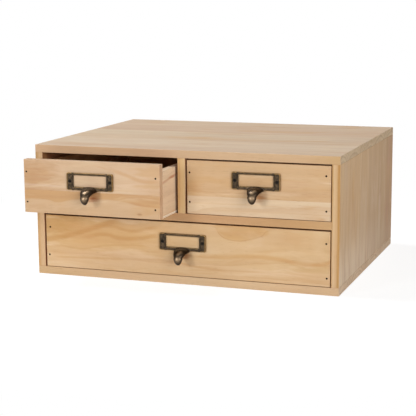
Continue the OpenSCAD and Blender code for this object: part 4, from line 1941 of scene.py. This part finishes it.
WIDE_FRONT_PINE = PineFinish(
    "wide drawer front pine",
    staves=(Stave(0, (213, 180, 137), pith=22, depth=44, seed=5),),
    marks=(
        Patch((70, 20), (150, 34), (200, 158, 102), 0.6, 0.9),
        Patch((12, 8), (66, 24), (188, 142, 78), 0.7, 0.9),
        Patch((318, 46), (50, 26), (196, 157, 110), 0.7, 0.9),
        Field(
            ((0, 40), (90, 38), (170, 41), (250, 45), (338.8, 44)),
            ((0, 60.9), (338.8, 60.9)),
            (218, 186, 146),
            0.6,
            4.0,
            0.1,
        ),
        Streak(((0, 29), (17, 26), (36, 21), (53, 15), (72, 8), (92, 3)), 5.0, (184, 134, 72), 0.62),
        Streak(((48, 23), (75, 19), (92, 22), (117, 21), (139, 17)), 4.0, (188, 140, 80), 0.6),
        Streak(((60, 12), (84, 9), (106, 13), (136, 8)), 3.0, (188, 140, 80), 0.5),
        Streak(
            ((0, 34), (22, 36), (44, 37.5), (69, 33), (92, 30.5), (142, 29)),
            1.6,
            (194, 150, 96),
            0.45,
        ),
        Streak(((8, 36.6), (50, 35.0), (100, 36.6), (165, 33.8)), 1.4, (204, 162, 116), 0.4),
        Streak(
            ((11, 49), (70, 47.4), (120, 45.2), (152, 44.5), (185, 49), (217, 51)),
            2.0,
            (200, 156, 108),
            0.5,
        ),
        Streak(
            ((187, 36), (217, 36), (250, 33), (283, 34), (304, 37.4), (326, 37), (338.8, 32.6)),
            3.8,
            (200, 153, 97),
            0.62,
        ),
        Streak(((196, 51), (250, 50.4), (304, 51.6)), 1.2, (204, 162, 118), 0.45),
        Streak(((190, 57), (260, 56.2), (330, 57)), 1.2, (206, 166, 122), 0.35),
        Patch((236, 2), (30, 15.5), (204, 163, 110), 0.85, 0.2, 0.12),
        Patch((256, 5), (17, 6.5), (206, 165, 112), 0.7, 0.3, 0.15),
        Streak(
            ((207, 2), (212, 9), (221, 14.6), (234, 16.6), (248, 14), (262, 9.6), (271, 3)),
            1.3,
            (188, 138, 82),
            0.5,
        ),
        # Painted shadow of the label pull's tongue: a warm dark oval just beside it
        Patch((172.5, 36), (9.5, 8.5), (124, 66, 12), 0.95, 1.0),
        Patch((340, 14), (16, 22), (202, 164, 118), 0.6, 0.8),
    ),
    # Painted shade: the top and bottom faces, seen only in the gaps, are dark brown
    edge=EdgeStripe(Way.ALONG, ((0.0, (144, 90, 46)),), 0.9),
    contrast=0.26,
    seed=28,
    # Painted shade: the end faces, seen only in the gaps, are dark brown
    end_tint=(190, 138, 92),
)


@dataclass(frozen=True)
class Lamp:
    """One square soft lamp: where it hangs, its side in metres and its power in watts."""

    name: str
    place: Place
    size: float
    power: float

    def hang(self, target: Vector) -> None:
        """Hangs the lamp so that it looks at the target."""
        data = bpy.data.lights.new(self.name, "AREA")
        data.shape = "SQUARE"
        data.size = self.size
        data.energy = self.power
        lamp = stand(self.name, data)
        aim = target - Vector(self.place)
        turn = aim.to_track_quat("-Z", "Y").to_matrix().to_4x4()
        lamp.matrix_world = Matrix.Translation(self.place) @ turn
        log.info("%s: %.0f W", self.name, self.power)


@dataclass
class Studio:
    """The pale floor, the soft lamps, the white surroundings and the camera."""

    focal: float = 103.48
    sensor: float = 36.0
    camera_place: Place = (0.4680, -1.3672, 0.3238)
    yaw: float = -19.651
    pitch: float = 10.253
    roll: float = -0.401
    surround: float = 0.06
    white: tuple[float, ...] = (1.0, 1.0, 1.0, 1.0)
    matt: tuple[float, ...] = (0.85, 0.85, 0.85, 1.0)
    floor_span: float = 12.0
    shadow_reach: float = 0.55
    shadow_depth: float = 0.3
    shadow_start: float = 0.45
    lamp_target: Place = (0, 0, 0.08)
    lamps: tuple[Lamp, ...] = (
        Lamp("key lamp", (-1.15, -2.5, 0.75), 0.7, 23.0),
        Lamp("right lamp", (1.7, -2.1, 0.75), 1.5, 40.0),
        Lamp("upper lamp", (-1.3, 0.05, 2.2), 0.9, 40.0),
    )

    def camera(self) -> None:
        """Sets the camera where the whole cabinet is seen from its front right."""
        data = bpy.data.cameras.new("camera")
        data.lens = self.focal
        data.sensor_width = self.sensor
        data.clip_start = 0.05
        data.clip_end = 50.0
        camera = stand("camera", data)
        yaw, pitch, roll = (math.radians(angle) for angle in (self.yaw, self.pitch, self.roll))
        level = math.cos(pitch)
        ahead = Vector((math.sin(yaw) * level, math.cos(yaw) * level, -math.sin(pitch)))
        right = Vector((math.cos(yaw), -math.sin(yaw), 0))
        up = right.cross(ahead)
        tilted = right * math.cos(roll) + up * math.sin(roll)
        upward = up * math.cos(roll) - right * math.sin(roll)
        turn = Matrix((tilted, upward, -ahead)).transposed()
        camera.matrix_world = Matrix.Translation(self.camera_place) @ turn.to_4x4()
        bpy.context.scene.camera = camera

    def seen(self, g: Graph) -> Socket:
        """Gives 1 for what the camera, a mirror or a glass sees."""
        path = g.node("ShaderNodeLightPath")
        shown = g.math("MAXIMUM", path.outputs["Is Camera Ray"], path.outputs["Is Glossy Ray"])
        return g.math("MAXIMUM", shown, path.outputs["Is Transmission Ray"])

    def surroundings(self) -> None:
        """Makes the world white where it is seen and an even soft light elsewhere."""
        world = bpy.data.worlds.new("studio")
        world.use_nodes = True
        bpy.context.scene.world = world
        g = Graph(world.node_tree)
        g.tree.nodes.clear()
        share = g.math("MULTIPLY_ADD", self.seen(g), 1 - self.surround, self.surround)
        light = g.node("ShaderNodeBackground", {"Color": self.white, "Strength": share})
        g.node("ShaderNodeOutputWorld", {0: light.outputs[0]})

    def floor(self) -> None:
        """Lays a white floor that keeps a faint shadow close to the cabinet."""
        mesh = bpy.data.meshes.new("floor")
        half = self.floor_span / 2
        corners = [(-half, -half, 0), (half, -half, 0), (half, half, 0), (-half, half, 0)]
        mesh.from_pydata(corners, [], [(0, 1, 2, 3)])
        g = Coat("studio floor")
        away = g.vector("LENGTH", g.coordinates("Object"))
        catch = g.span(away, self.shadow_reach * 0.5, self.shadow_reach, self.shadow_depth, 0.0)
        strength = g.math("MULTIPLY_ADD", catch, -self.shadow_start, 1.0)
        glow = g.node("ShaderNodeEmission", {"Color": self.white, "Strength": strength})
        paint = g.node("ShaderNodeBsdfDiffuse", {"Color": g.join(catch, catch, catch)})
        white = g.node("ShaderNodeAddShader", {0: glow.outputs[0], 1: paint.outputs[0]})
        matt = g.node("ShaderNodeBsdfDiffuse", {"Color": self.matt})
        both = g.node("ShaderNodeMixShader", {0: self.seen(g), 1: matt.outputs[0], 2: white.outputs[0]})
        g.node("ShaderNodeOutputMaterial", {0: both.outputs[0]})
        mesh.materials.append(g.made)
        stand("floor", mesh)

    def build(self) -> None:
        """Sets the camera, the lamps, the surroundings and the floor."""
        bpy.context.scene.view_settings.view_transform = "Standard"
        self.camera()
        self.surroundings()
        self.floor()
        for lamp in self.lamps:
            lamp.hang(Vector(self.lamp_target))


def main() -> None:
    """Builds the studio, the cabinet and its three drawers in order."""
    logging.basicConfig(level=logging.INFO, format="%(message)s")
    Studio().build()
    cabinet = Cabinet()
    cabinet.dress()
    cabinet.fix()
    casting = LabelPull().mesh()
    log.info("label pull casting: %d corners", len(casting.vertices))
    drawers = (
        Drawer("left_drawer", LEFT_FRONT_PINE, seed=40, painted_light_dabs=(DIVIDER_SHADE,)),
        Drawer("right_drawer", RIGHT_FRONT_PINE, seed=50),
        Drawer("wide_drawer", WIDE_FRONT_PINE, seed=60),
    )
    for drawer in drawers:
        drawer.dress()
        drawer.fix(casting)


if __name__ == "__main__":
    main()
